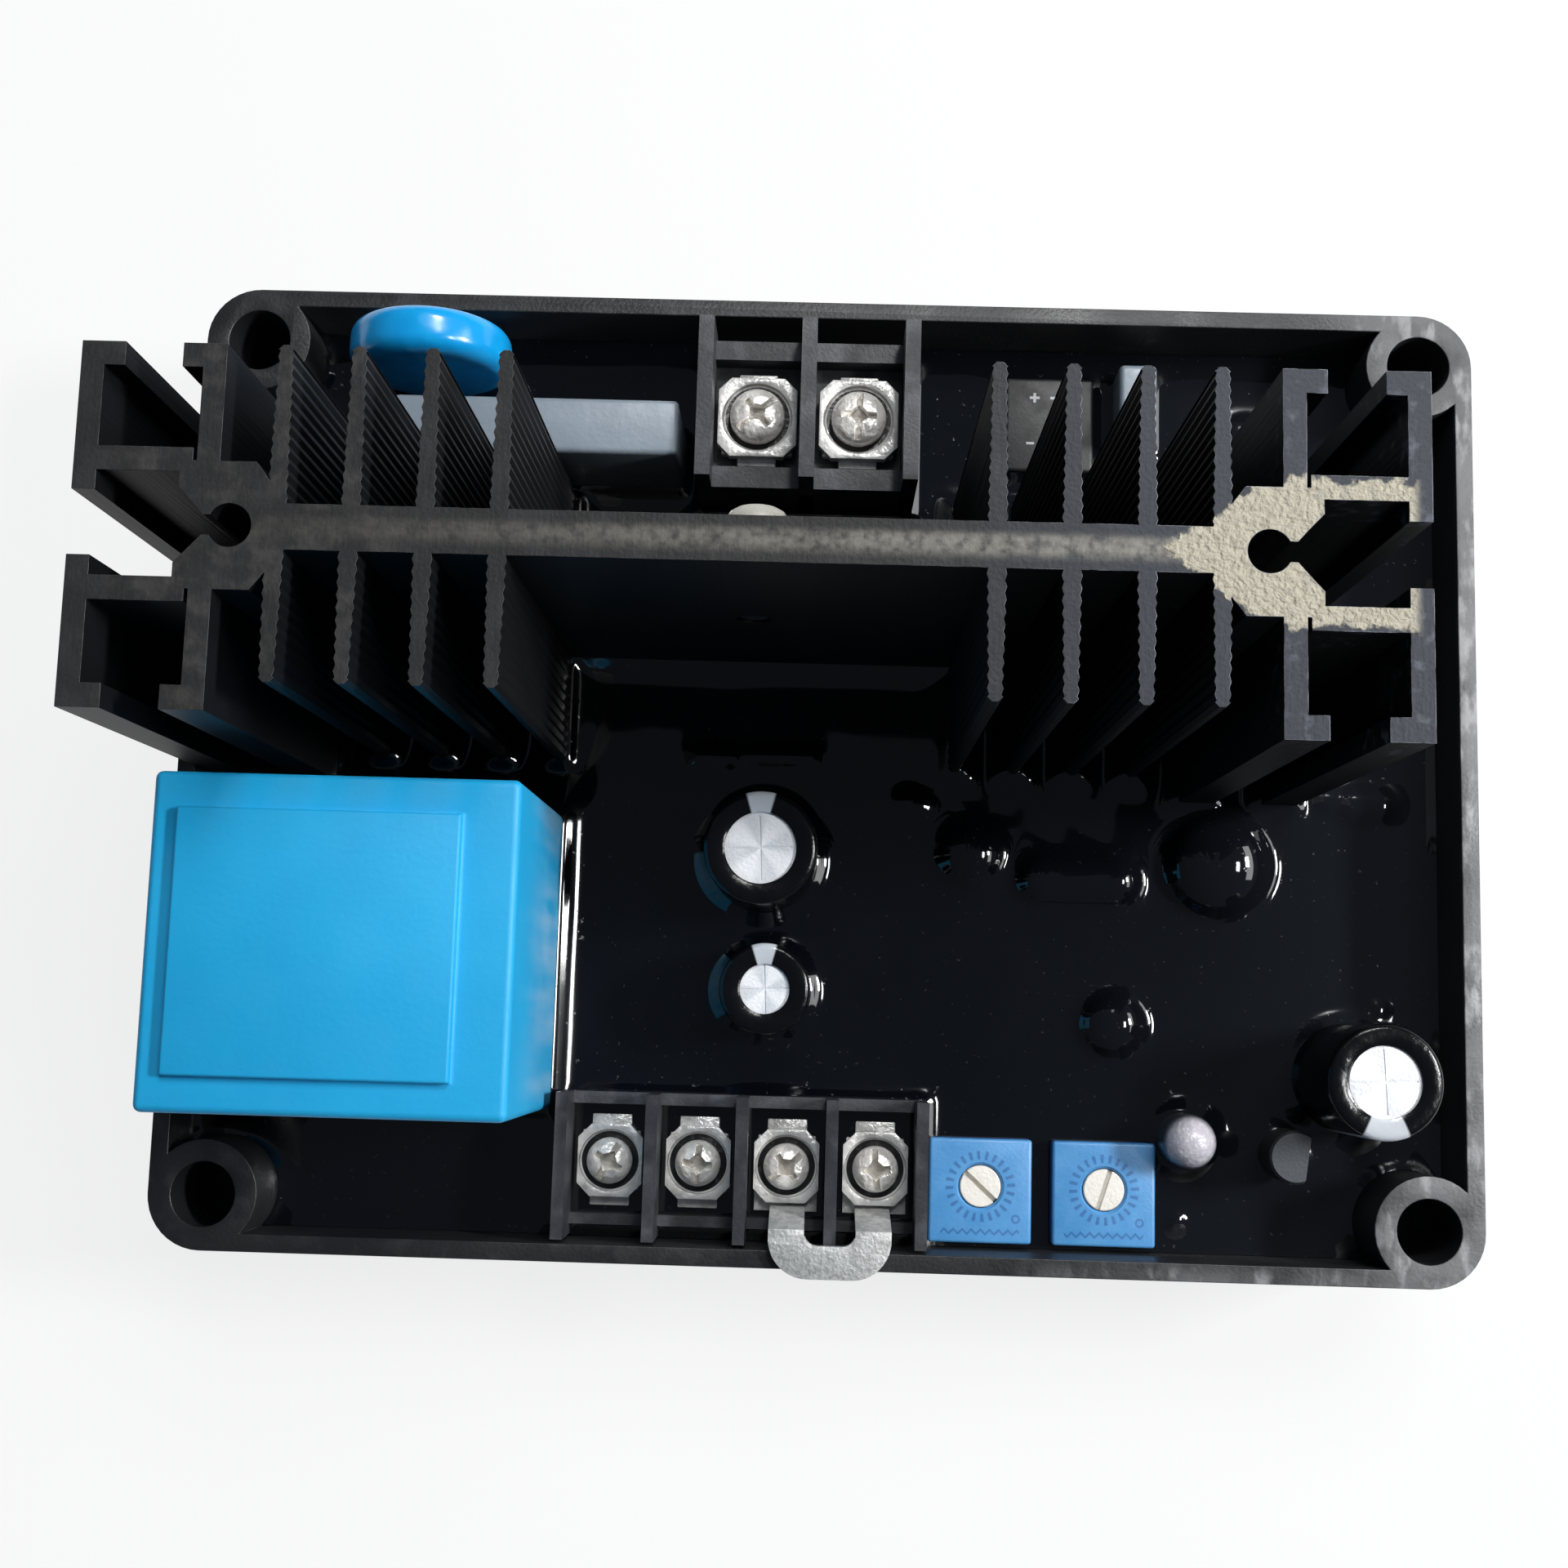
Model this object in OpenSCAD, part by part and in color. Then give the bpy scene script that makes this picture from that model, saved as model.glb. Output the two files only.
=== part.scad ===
// Automatic voltage regulator: a potted control board in an open plastic tray,
// with a finned heat sink, a block transformer and two screw terminal strips.
// Millimetres. The origin is on the underside, in the middle of the four mounting holes.
// +X is to the right, +Y to the rear and +Z up.

/* [Tray] */
// Outer width
tray_w = 120; // [108:1:150]
// Outer depth
tray_d = 90; // [81:1:110]
// Outer height
tray_h = 20; // [18:0.5:24]
// Thickness of the side walls
tray_wall = 1.6; // [1.2:0.1:2]
// Thickness of the floor
tray_floor = 2.2; // [1.5:0.1:3]
// Radius of the outer corners
corner_r = 5; // [3:0.5:6]
// Distance of the mounting holes from the outer sides
hole_inset = 5; // [5:0.25:6]
// Diameter of the mounting holes
hole_d = 5.8; // [4:0.1:6.5]
// Outer diameter of the corner bosses
boss_d = 9.8; // [8:0.1:9.8]
// Height of the board posts above the floor
post_h = 5.5; // [4.5:0.5:7]
// Diameter of the board posts
post_d = 5; // [3:0.5:6]
// Distance of the board posts from the side walls
post_inset = 4; // [3.5:0.5:5]
// Distance between the board posts along Y
post_spacing = 40; // [36:1:44]

/* [Circuit board] */
// Thickness of the board
board_t = 1.6; // [1:0.2:2.4]
// Gap between the board and the tray
board_gap = 0.6; // [0.3:0.1:1]
// Diameter of the component leads
lead_d = 0.8; // [0.5:0.1:1]
// Gap around a lead in its board hole
lead_clear = 0.1; // [0.05:0.05:0.2]
// Length of a lead below the board
lead_out = 1.6; // [0.8:0.2:2.4]

/* [Potting] */
// Depth of the resin over the board
potting_depth = 3.2; // [2.6:0.1:3.6]
// Shrinkage gap between the resin and what it holds
cure_gap = 0.05; // [0.02:0.01:0.1]

/* [Heat sink] */
// Length of the extrusion, which stands upright
sink_l = 44; // [40:1:60]
// Width of the profile
sink_w = 103.3; // [101:0.5:108]
// Reach of the profile to the rear of the web's middle
sink_rear = 14.3; // [13:0.1:16]
// Reach of the end plates to the front of the web's middle
sink_front = 14.3; // [12.5:0.1:15.5]
// Reach of the front fins from the web's middle
fin_front = 12; // [8:0.5:14]
// Thickness of the web
web_t = 3.6; // [3:0.1:4.5]
// Thickness of a fin at the web
fin_t = 1.6; // [1.3:0.1:2]
// Thickness of a fin at its tip
fin_tip_t = 1.2; // [1:0.1:1.3]
// Distance of the first fin from the profile's middle
fin_first = 18.9; // [17:0.1:19]
// Pitch of the fins
fin_pitch = 5.65; // [5:0.05:5.7]
// Number of fins on each side
fin_count = 4; // [2:1:4]
// Pitch of the grooves along a fin
tooth_pitch = 0.9; // [0.7:0.1:1.5]
// Depth of the grooves along a fin
tooth_depth = 0.15; // [0.05:0.05:0.25]
// Distance of the screw channels from the profile's middle
channel_x = 39.4; // [39:0.1:40]
// Diameter of the screw channels
channel_d = 3.4; // [3:0.1:3.6]
// Height of the hub around a screw channel
hub_h = 10; // [9:0.5:11]
// Thickness of the end plates
plate_t = 1.8; // [1.4:0.1:2]
// Length of the hooks on the end plates
hook_l = 1.6; // [1:0.1:2]
// Thickness of the hooks
hook_t = 1.9; // [1.2:0.1:2.2]
// Distance of the arms from the web's middle
arm_y = 5.05; // [4.8:0.05:5.4]
// Thickness of the arms
arm_t = 1.9; // [1.4:0.1:2.2]
// Gap between the front and rear outer plates
plate_gap = 5.1; // [4:0.1:6]
// Gap between the heat sink and the left wall
sink_wall_gap = 0.25; // [0.2:0.05:1]
// Distance of the heat sink from the rear wall
sink_rear_gap = 16; // [15.8:0.1:16.2]
// Diameter of the two screws that hold it to the board
sink_screw_d = 3.2; // [2.6:0.1:3.3]
// Length of those screws above the board
sink_screw_l = 10; // [6:1:14]

/* [Thyristor] */
// Width of the package
thyristor_w = 15.6; // [13:0.2:18]
// Height of the package
thyristor_h = 20; // [18:0.5:22]
// Thickness of the package
thyristor_t = 4.2; // [3.6:0.1:4.8]
// Height of the package's foot over the board
thyristor_lift = 8; // [5:0.5:10]
// Height of its screw hole over the package's foot
thyristor_hole = 15.4; // [13:0.1:15.6]
// Pitch of its leads
thyristor_pitch = 5.45; // [4:0.05:5.5]
// Thickness of the insulating pad behind it
pad_t = 0.2; // [0.1:0.1:0.5]
// Diameter of its screw's shank
thyristor_screw_d = 2.9; // [2.4:0.1:3]
// Diameter of its screw's head
thyristor_head_d = 5.6; // [5:0.1:6]
// Height of its screw's head
thyristor_head_h = 1.9; // [1.4:0.1:2.2]

/* [Transformer] */
// Width of the block
transformer_w = 30.2; // [28:0.1:31]
// Depth of the block
transformer_d = 27.7; // [25:0.1:29]
// Height of the block over the board
transformer_h = 30.6; // [20:0.2:40]
// Radius of the block's upright edges
transformer_r = 0.8; // [0.4:0.1:2]
// Width of the raised panel on top
panel_w = 22.8; // [18:0.1:24]
// Depth of the raised panel on top
panel_d = 21.2; // [16:0.1:22]
// Height of the raised panel
panel_h = 0.8; // [0.4:0.1:1.5]
// Distance of the panel's middle from the block's middle, to the left
panel_shift = 1.2; // [0:0.1:2]
// Distance of the block from the left wall
transformer_left = 3.4; // [1:0.1:4]
// Distance of the block from the front wall
transformer_front = 11.6; // [10.5:0.1:12.5]
// Gap between the transformer and the heat sink's end plates
transformer_rear_gap = 2.9; // [2.4:0.1:3.5]

/* [Electrolytic capacitors] */
// Diameter of the two large capacitors
big_cap_d = 10.2; // [8:0.1:10.4]
// Height of the two large capacitors
big_cap_h = 16; // [12:0.5:20]
// Diameter of the small capacitor
small_cap_d = 8.3; // [6:0.1:8.8]
// Height of the small capacitor
small_cap_h = 12; // [9:0.5:16]
// Thickness of the sleeves
sleeve_t = 0.3; // [0.2:0.05:0.5]
// Gap between a sleeve and its can
sleeve_clear = 0.05; // [0.02:0.01:0.1]
// Width of the sleeve's lip over the can's end
lip_w = 1.6; // [0.8:0.1:2]
// Lead spacing of the capacitors
cap_lead_spacing = 5; // [3.5:0.5:5]

/* [Small components] */
// Length of the large film capacitor
film_l = 26.5; // [18:0.5:27]
// Thickness of the large film capacitor
film_t = 5.2; // [4:0.1:5.6]
// Height of the large film capacitor
film_h = 15; // [10:0.5:18]
// Length of the small film capacitor
chip_film_l = 7.2; // [5:0.1:8]
// Thickness of the small film capacitor
chip_film_t = 3.6; // [2.5:0.1:4]
// Height of the small film capacitor
chip_film_h = 8; // [6:0.5:10]
// Diameter of the varistor disc
varistor_d = 15.2; // [12:0.2:16]
// Thickness of the varistor disc
varistor_t = 4.4; // [3:0.1:4.8]
// Width of the bridge rectifier
bridge_w = 8.6; // [7:0.1:9]
// Depth of the bridge rectifier
bridge_d = 9.4; // [7:0.1:9.6]
// Height of the bridge rectifier
bridge_h = 4.6; // [4:0.1:6]
// Width of the small transistor
transistor_w = 4.8; // [4:0.1:5]
// Height of the small transistor
transistor_h = 4.7; // [4:0.1:5.5]
// Height of the small transistor over the board
transistor_lift = 4.8; // [4:0.1:6]
// Diameter of the lamp's lens
lamp_d = 5; // [4:0.1:5.2]
// Height of the lamp
lamp_h = 8.6; // [7:0.1:9]
// Diameter of the choke under the resin
choke_d = 8; // [6:0.1:8.2]
// Height of the choke
choke_h = 4; // [3:0.1:4.2]
// Diameter of the bead capacitors under the resin
bead_d = 4; // [3:0.1:4.2]
// Height of the bead capacitors
bead_h = 3.6; // [3:0.1:3.8]
// Diameter of the resistor under the resin
resistor_d = 4; // [3:0.1:4.2]
// Length of the resistor's body
resistor_l = 9.5; // [7:0.5:10]
// Diameter of the diode under the resin
diode_d = 2.7; // [2:0.1:2.8]
// Length of the diode's body
diode_l = 5; // [4:0.2:5.4]

/* [Front terminals] */
// Pitch of the poles
front_pitch = 8.2; // [7.8:0.05:8.4]
// Number of poles
front_poles = 4; // [4:1:4]
// Depth of the barriers
front_d = 13.1; // [12.8:0.1:13.3]
// Height of the barriers over the board
front_h = 10.1; // [8.5:0.1:10.4]
// Height of the contact plates' seat over the board
front_seat = 3.4; // [3.3:0.1:4]
// Width of a clamping washer
front_washer_w = 6; // [5.6:0.1:6.4]
// Length of a clamping washer
front_washer_l = 6.6; // [5.8:0.1:6.8]
// Width of the contact strips
front_strip_w = 3.7; // [3.5:0.1:4.6]
// Length of the contact strips
front_strip_l = 8.4; // [7:0.1:8.6]
// Diameter of a screw's head
front_head_d = 4.7; // [4.2:0.1:5]
// Length of a screw's thread
front_screw_l = 4.4; // [3.6:0.1:4.5]
// Gap between the block and the transformer
front_block_gap = 1.2; // [0.6:0.05:1.6]
// Thickness of the barriers
front_barrier_t = 1.1; // [0.8:0.1:1.2]
// Thickness of the low wall on the wire side
front_wire_wall = 1; // [0.8:0.1:1.1]
// Thickness of the low wall at the back of the cells
front_back_wall = 1.1; // [0.8:0.1:1.2]
// Height of those walls over the seat
front_wall_h = 2.3; // [1.5:0.1:2.6]

/* [Rear terminals] */
// Pitch of the poles
rear_pitch = 9.5; // [8.8:0.1:9.8]
// Number of poles
rear_poles = 2; // [2:1:2]
// Depth of the barriers
rear_d = 15.1; // [14.9:0.1:15.4]
// Height of the barriers over the board
rear_h = 16.7; // [15:0.1:18]
// Height of the contact plates' seat over the board
rear_seat = 10.4; // [9.5:0.1:11]
// Width of a clamping washer
rear_washer_w = 7.4; // [6.8:0.1:7.6]
// Length of a clamping washer
rear_washer_l = 7.6; // [6.8:0.1:8]
// Width of the contact strips
rear_strip_w = 3.6; // [3.5:0.1:5]
// Length of the contact strips
rear_strip_l = 8.9; // [8:0.1:9.2]
// Diameter of a screw's head
rear_head_d = 5.5; // [4.6:0.1:5.8]
// Length of a screw's thread
rear_screw_l = 8; // [5:0.5:9]
// Distance of the barriers from the rear wall
rear_wall_gap = 2.2; // [1.8:0.1:2.4]
// Distance of the block's middle from the heat sink's middle, to the right
rear_shift = 4.05; // [2:0.05:4.5]
// Thickness of the barriers
rear_barrier_t = 1.4; // [1:0.1:1.5]
// Thickness of the low wall on the wire side
rear_wire_wall = 1.8; // [1:0.1:2]
// Thickness of the low wall at the back of the cells
rear_back_wall = 2; // [1:0.1:2.1]
// Height of those walls over the seat
rear_wall_h = 2.3; // [1.5:0.1:2.6]

/* [Terminal fittings] */
// Overhang of the barriers past the block's base, on the wire side
barrier_out = 1; // [0.4:0.1:1.2]
// Thickness of the contact plates
contact_t = 0.9; // [0.6:0.1:1]
// Diameter of the contact plates' pins
pin_d = 1.2; // [0.8:0.1:1.4]
// Thickness of the clamping washers
washer_t = 1.1; // [0.9:0.1:1.3]
// Length of the clipped corners of the clamping washers
washer_clip = 1.2; // [0.6:0.1:1.4]
// Depth of the dish that takes the screw's head
dish_depth = 0.5; // [0.2:0.1:0.5]
// Gap around the head in that dish
dish_clear = 0.4; // [0.3:0.05:0.5]
// Height of the screw heads
head_h = 2.1; // [1.6:0.1:2.4]
// Outer diameter of the screw threads
thread_d = 2.9; // [2.5:0.1:3]
// Running gap around a thread
thread_clear = 0.06; // [0.03:0.01:0.1]
// Width of the drive slots in the heads
drive_w = 0.7; // [0.5:0.1:1]
// Depth of the drive slots in the heads
drive_depth = 0.8; // [0.4:0.1:1]

/* [Link] */
// Thickness of the sheet
link_t = 0.8; // [0.6:0.1:1]
// Width of a leg
link_leg_w = 3.2; // [2.6:0.1:3.4]
// Narrowing of the legs against the pole pitch
link_inset = 0.4; // [0:0.1:0.6]
// Overhang of the link past the tray's front
link_overhang = 0.7; // [0.4:0.1:1.5]
// Gap between the link and the tray's rim
link_clear = 0.15; // [0.1:0.05:0.3]
// Run of the sloping part of a leg
link_run = 1.6; // [1.4:0.1:1.8]
// Width of the forks under the screws
fork_w = 5.8; // [5.2:0.1:6]
// Radius of the link's outer corners
link_r = 4; // [3:0.1:4.4]

/* [Trimmers] */
// Side of a trimmer's body
trimmer_w = 9.53; // [8:0.01:9.8]
// Height of a trimmer over the board
trimmer_h = 4.9; // [4.4:0.1:6]
// Pitch of the two trimmers
trimmer_pitch = 11.43; // [10.6:0.01:12]
// Gap between the trimmers and the front block
trimmer_gap = 0.4; // [0.3:0.05:0.6]
// Distance of the trimmers from the front wall
trimmer_front = 0.55; // [0.3:0.05:1]
// Diameter of the rotors
rotor_d = 3.8; // [3:0.1:4.4]
// Depth of the rotors
rotor_h = 2.5; // [1.5:0.1:2.8]
// Distance of the rotors behind the bodies' middle
rotor_shift = 0.4; // [0:0.1:0.8]
// Running gap around a rotor
rotor_clear = 0.08; // [0.03:0.01:0.1]
// Width of the rotors' slots
rotor_slot_w = 0.45; // [0.3:0.05:0.8]
// Depth of the rotors' slots
rotor_slot_depth = 0.7; // [0.4:0.1:1]
// Turn of the left rotor's slot
left_slot_turn = -42; // [-150:1:150]
// Turn of the right rotor's slot
right_slot_turn = 72; // [-150:1:150]

/* [Places on the board] */
// Free length of the front row on the right of the trimmers
row_rest = 26.74; // [25:0.01:28]
// Filter capacitor, from the front terminal block's middle
filter_cap_x = 1.1; // [0:0.05:2]
// Filter capacitor, from the front wall
filter_cap_y = 35.6; // [35:0.1:36.5]
// Timing capacitor, from the front terminal block's middle
timing_cap_x = 1.75; // [0:0.05:3]
// Timing capacitor, from the front wall
timing_cap_y = 23.2; // [22:0.1:24]
// Supply capacitor, from the front wall
supply_cap_y = 16.6; // [16.4:0.1:18]
// Lamp, from the front wall
lamp_y = 10.5; // [10.3:0.1:11]
// Gap between the lamp and the trimmer beside it
lamp_gap = 0.1; // [0.05:0.05:0.3]
// Small transistor, from the front wall
transistor_y = 9.5; // [9.3:0.1:9.7]
// Choke, from the front terminal block's middle
choke_x = 44.25; // [43.5:0.05:45]
// Choke, from the front wall
choke_y = 36.3; // [35:0.1:37]
// Left bead capacitor, from the front terminal block's middle
left_bead_x = 20.7; // [20:0.1:21.5]
// Left bead capacitor, from the front wall
left_bead_y = 36.8; // [36:0.1:38]
// Right bead capacitor, from the front terminal block's middle
right_bead_x = 34.4; // [33:0.1:36]
// Right bead capacitor, from the front wall
right_bead_y = 20.9; // [20:0.1:22]
// Load resistor, from the front terminal block's middle
resistor_x = 31.1; // [30.5:0.1:31.5]
// Load resistor, from the front wall
resistor_y = 34.5; // [33.5:0.1:35]
// Diode, from the front terminal block's middle
diode_x = 58.15; // [58:0.05:58.5]
// Diode, from the front wall
diode_y = 42.5; // [41.5:0.1:43]
// Gap between the large film capacitor and the rear terminal block
film_block_gap = 1.75; // [1:0.05:2.5]
// Gap between the large film capacitor and the varistor
film_varistor_gap = 3.5; // [2.6:0.1:3.6]
// Varistor's middle, from the left wall
varistor_left = 19.8; // [18.5:0.1:22]
// Gap between the varistor and the rear wall
varistor_wall_gap = 1.9; // [1.6:0.1:2.4]
// Bridge rectifier, from the rear terminal block's side
bridge_x = 13.3; // [12.5:0.1:14]
// Gap between the bridge rectifier and the rear wall
bridge_wall_gap = 3.2; // [2.6:0.1:3.8]
// Small film capacitor, from the rear terminal block's side
chip_film_x = 21.4; // [21:0.1:22.5]
// Gap between the small film capacitor and the rear wall
chip_film_wall_gap = 2.8; // [2.6:0.1:3.8]

/* [Hidden] */
$fn = 64;

// Colours
black_plastic = "#191b1e";
resin_black = "#0b0c0f";
anodised_black = "#1d1e20";
blue = "#1f9fdb";
trimmer_blue = "#3f93d6";
bright_metal = "#c9c9c4";
zinc = "#b3b6b2";
ivory = "#e6e0cf";
pale_grey = "#aeb6c0";
board_green = "#2c5a3a";

// A cut runs this far past a face
over = 1;
// Gap between a screw and a plain hole around it
screw_gap = 0.2;
// Least gap between parts that stand beside each other
part_gap = 0.3;

// Heights
board_z = tray_floor + post_h;
deck_z = board_z + board_t;
pot_z = deck_z + potting_depth;
lead_z = board_z - lead_out;

// Inner faces of the tray and the board's outline
in_x = tray_w / 2 - tray_wall;
in_y = tray_d / 2 - tray_wall;
hole_x = tray_w / 2 - hole_inset;
hole_y = tray_d / 2 - hole_inset;
post_x = in_x - post_inset;
board_w = 2 * (in_x - board_gap);
board_d = 2 * (in_y - board_gap);

// Front row: its gaps stretch or shrink together to fill the tray's width
front_w = front_poles * front_pitch + front_barrier_t;
trimmer_space = trimmer_pitch - trimmer_w;
row_gaps = transformer_left + front_block_gap + trimmer_gap + trimmer_space + row_rest;
row_stretch = (2 * in_x - transformer_w - front_w - 2 * trimmer_w) / row_gaps;

// Rows from the front to the rear: what the bosses and the parts behind the heat sink don't need
// stretches or shrinks to fill the tray's depth
boss_room = hole_inset - tray_wall + boss_d / 2;
rear_need = varistor_t + film_t + 3 * part_gap;
spare_d = transformer_front - boss_room + transformer_rear_gap + sink_rear_gap - rear_need;
depth_stretch =
    (2 * in_y - boss_room - transformer_d - sink_front - sink_rear - rear_need) / spare_d;
rear_gap = rear_need + (sink_rear_gap - rear_need) * depth_stretch;

// Heat sink: its middle, and the stations of its end pieces from that middle
sink_x = -in_x + sink_wall_gap + sink_w / 2;
sink_y = in_y - rear_gap - sink_rear;
hub_half = 4.3;
hub_in = channel_x - hub_half;
hub_out = channel_x + hub_half - 0.2;
hub_flare = 2.5;
channel_slot = 1.6;
inner_plate_x = channel_x + 1;
outer_plate_x = sink_w / 2 - plate_t;
fin_tip_cut = 0.35;

// Thyristor on the rear of the web
thyristor_y = sink_y + web_t / 2 + pad_t;
thyristor_z = deck_z + thyristor_lift;
thyristor_screw_z = thyristor_z + thyristor_hole;
thyristor_notch_r = 1.8;
tip_recess = 0.2;

// Transformer
transformer_x = -in_x + transformer_left * row_stretch + transformer_w / 2;
transformer_y =
    -in_y + boss_room + (transformer_front - boss_room) * depth_stretch + transformer_d / 2;
transformer_pin_x = 10;
transformer_pin_y = 10;

// Front terminal block, which stands beside the transformer
front_x = transformer_x + transformer_w / 2 + front_block_gap * row_stretch + front_w / 2;
front_y0 = -in_y + 0.3;
front_screw_y = front_y0 + 6.8;
front_pin_y = front_screw_y + 3.2;

// Rear terminal block, turned so that its wire side faces the rear wall
rear_w = rear_poles * rear_pitch + rear_barrier_t;
rear_x = sink_x + rear_shift;
rear_y1 = in_y - rear_wall_gap;
rear_screw_y = rear_y1 - 8.2;
rear_pin_y = rear_screw_y - 3.6;

// Levels of a terminal's fittings over its seat
washer_z = contact_t;
contact_part = 0.9;
head_z = washer_z + washer_t - dish_depth;

// Places in the field between the front wall and the heat sink, which stretches with the tray
field_w = front_w / 2 + trimmer_gap + trimmer_w + trimmer_pitch + row_rest;
field_d = transformer_front + transformer_d + transformer_rear_gap;
function field_place(x, y) = [
    front_x + x * (in_x - front_x) / field_w,
    -in_y + y * (sink_y - sink_front + in_y) / field_d
];

// Places behind the heat sink, for a piece of depth d
function rear_place(x, wall_gap, d) =
    [x, in_y - wall_gap * (rear_gap - d) / (sink_rear_gap - d) - d / 2];

// Trimmers
trimmer_x = front_x + front_w / 2 + trimmer_gap * row_stretch + trimmer_w / 2;
trimmer_y = -in_y + trimmer_front + trimmer_w / 2;
left_trimmer_pos = [trimmer_x, trimmer_y];
right_trimmer_pos = [trimmer_x + trimmer_w + trimmer_space * row_stretch, trimmer_y];
trimmer_lead_pitch = 2.54;

// Lamp, transistor and supply capacitor, between the trimmers and the right wall
lamp_flange_w = 0.4;
lamp_pos = [right_trimmer_pos.x + trimmer_w / 2 + lamp_gap + lamp_d / 2, -in_y + lamp_y];
boss_reach = boss_d / 2 + transistor_w / 2 + part_gap;
transistor_low = lamp_pos.x + lamp_d / 2 + lamp_flange_w + part_gap + transistor_w / 2;
transistor_high = hole_x - sqrt(pow(boss_reach, 2) - pow(transistor_y - hole_inset + tray_wall, 2));
transistor_share = 0.343;
supply_share = 0.32;
corner_room = transistor_high - transistor_low;
transistor_pos = [transistor_low + transistor_share * corner_room, -in_y + transistor_y];
supply_cap = [in_x - big_cap_d / 2 - part_gap - supply_share * corner_room, -in_y + supply_cap_y];

// Other electrolytic capacitors
filter_cap = field_place(filter_cap_x, filter_cap_y);
timing_cap = field_place(timing_cap_x, timing_cap_y);
vent_w = 0.3;
vent_depth = 0.15;

// Other components
rear_stretch = (rear_gap - varistor_t - film_t) / (sink_rear_gap - varistor_t - film_t);
film_pos = [
    rear_x - rear_w / 2 - film_block_gap - film_l / 2,
    in_y - (varistor_wall_gap + film_varistor_gap) * rear_stretch - varistor_t - film_t / 2
];
varistor_pos = [-in_x + varistor_left, in_y - varistor_wall_gap * rear_stretch - varistor_t / 2];
chip_film_pos = rear_place(rear_x + rear_w / 2 + chip_film_x, chip_film_wall_gap, chip_film_l);
bridge_pos = rear_place(rear_x + rear_w / 2 + bridge_x, bridge_wall_gap, bridge_d);
varistor_lift = 2.6;
transistor_turn = -8;
transistor_flat = 1.1;
lamp_lift = 1.1;
lamp_flange_h = 1;

// Components under the resin, with the half width and height of the dome over each
choke_pos = field_place(choke_x, choke_y);
left_bead_pos = field_place(left_bead_x, left_bead_y);
right_bead_pos = field_place(right_bead_x, right_bead_y);
resistor_pos = field_place(resistor_x, resistor_y);
axial_lift = 0.2;
axial_bend = 1.6;

// The diode lies beside the heat sink where there is room, and otherwise in front of it
diode_reach = diode_l / 2 + axial_bend + lead_d / 2 + part_gap;
diode_place = field_place(diode_x, diode_y);
diode_beside = diode_place.x - diode_reach > sink_x + sink_w / 2;
diode_front_y = sink_y - sink_front - part_gap - diode_d / 2;
diode_pos = [diode_place.x, diode_beside ? diode_place.y : min(diode_place.y, diode_front_y)];
round_domes = [
    [choke_pos, choke_d / 2 + 1.4, 2.4],
    [left_bead_pos, bead_d / 2 + 1.5, 1.5],
    [right_bead_pos, bead_d / 2 + 1.3, 1.5]
];
long_domes = [
    [resistor_pos, resistor_d / 2 + 0.6, 1.7, resistor_l - 1],
    [diode_pos, diode_d / 2 + 0.25, 0.8, diode_l - 0.8]
];

// Terminal link
link_x = front_x + (front_poles / 2 - 1) * front_pitch;
link_low_z = deck_z + front_seat + contact_t;
link_high_z = tray_h + link_clear;
link_y0 = -tray_d / 2 - link_overhang;
link_corner = link_t * tan(atan2(link_high_z - link_low_z, link_run) / 2);
link_bend_y = front_screw_y - front_washer_l / 2 - screw_gap - link_corner;
link_top_bend_y = link_bend_y - link_run;
link_rear_y = front_screw_y + 2.2;
fork_slot = thread_d + 0.5;

// Places of the leads
function pair(p, s) = [[p.x - s / 2, p.y], [p.x + s / 2, p.y]];
function axial_pair(p, l) = pair(p, l + 2 * axial_bend);
function trimmer_leads(p) = [
    for (i = [-1, 0, 1]) [p.x + i * trimmer_lead_pitch, p.y - trimmer_lead_pitch * (1 - abs(i))]
];
transformer_leads = [
    for (i = [-1, 0, 1], j = [-1, 1])
        [transformer_x + i * transformer_pin_x, transformer_y + j * transformer_pin_y]
];
thyristor_leads = [
    for (i = [-1, 0, 1]) [sink_x + i * thyristor_pitch, thyristor_y + thyristor_t / 2]
];
bridge_leads = [
    for (i = [-1, 1], j = [-1, 1])
        [bridge_pos.x + i * bridge_w * 0.3, bridge_pos.y + j * bridge_d * 0.3]
];
transistor_leads = [
    for (i = [-1, 0, 1]) [transistor_pos.x, transistor_pos.y + i * 1.27]
];
film_leads = pair(film_pos, film_l * 0.85);
chip_film_leads = [
    for (j = [-1, 1]) [chip_film_pos.x, chip_film_pos.y + j * chip_film_l * 0.35]
];
all_leads = concat(
    transformer_leads, thyristor_leads, bridge_leads, transistor_leads, film_leads, chip_film_leads,
    pair(filter_cap, cap_lead_spacing), pair(timing_cap, cap_lead_spacing),
    pair(supply_cap, cap_lead_spacing), pair(varistor_pos, varistor_d / 2), pair(lamp_pos, 2.54),
    pair(choke_pos, choke_d / 2), pair(left_bead_pos, bead_d / 2), pair(right_bead_pos, bead_d / 2),
    axial_pair(resistor_pos, resistor_l), axial_pair(diode_pos, diode_l),
    trimmer_leads(left_trimmer_pos), trimmer_leads(right_trimmer_pos)
);
function front_pole_x(i) = front_x + (i - (front_poles + 1) / 2) * front_pitch;
function rear_pole_x(i) = rear_x + (i - (rear_poles + 1) / 2) * rear_pitch;
all_pins = concat(
    [for (i = [1 : front_poles]) [front_pole_x(i), front_pin_y]],
    [for (i = [1 : rear_poles]) [rear_pole_x(i), rear_pin_y]]
);
sink_screws = [for (s = [-1, 1]) [sink_x + s * channel_x, sink_y]];
sink_head_d = 6;
sink_head_h = 2;

// Shapes that several pieces share

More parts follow.
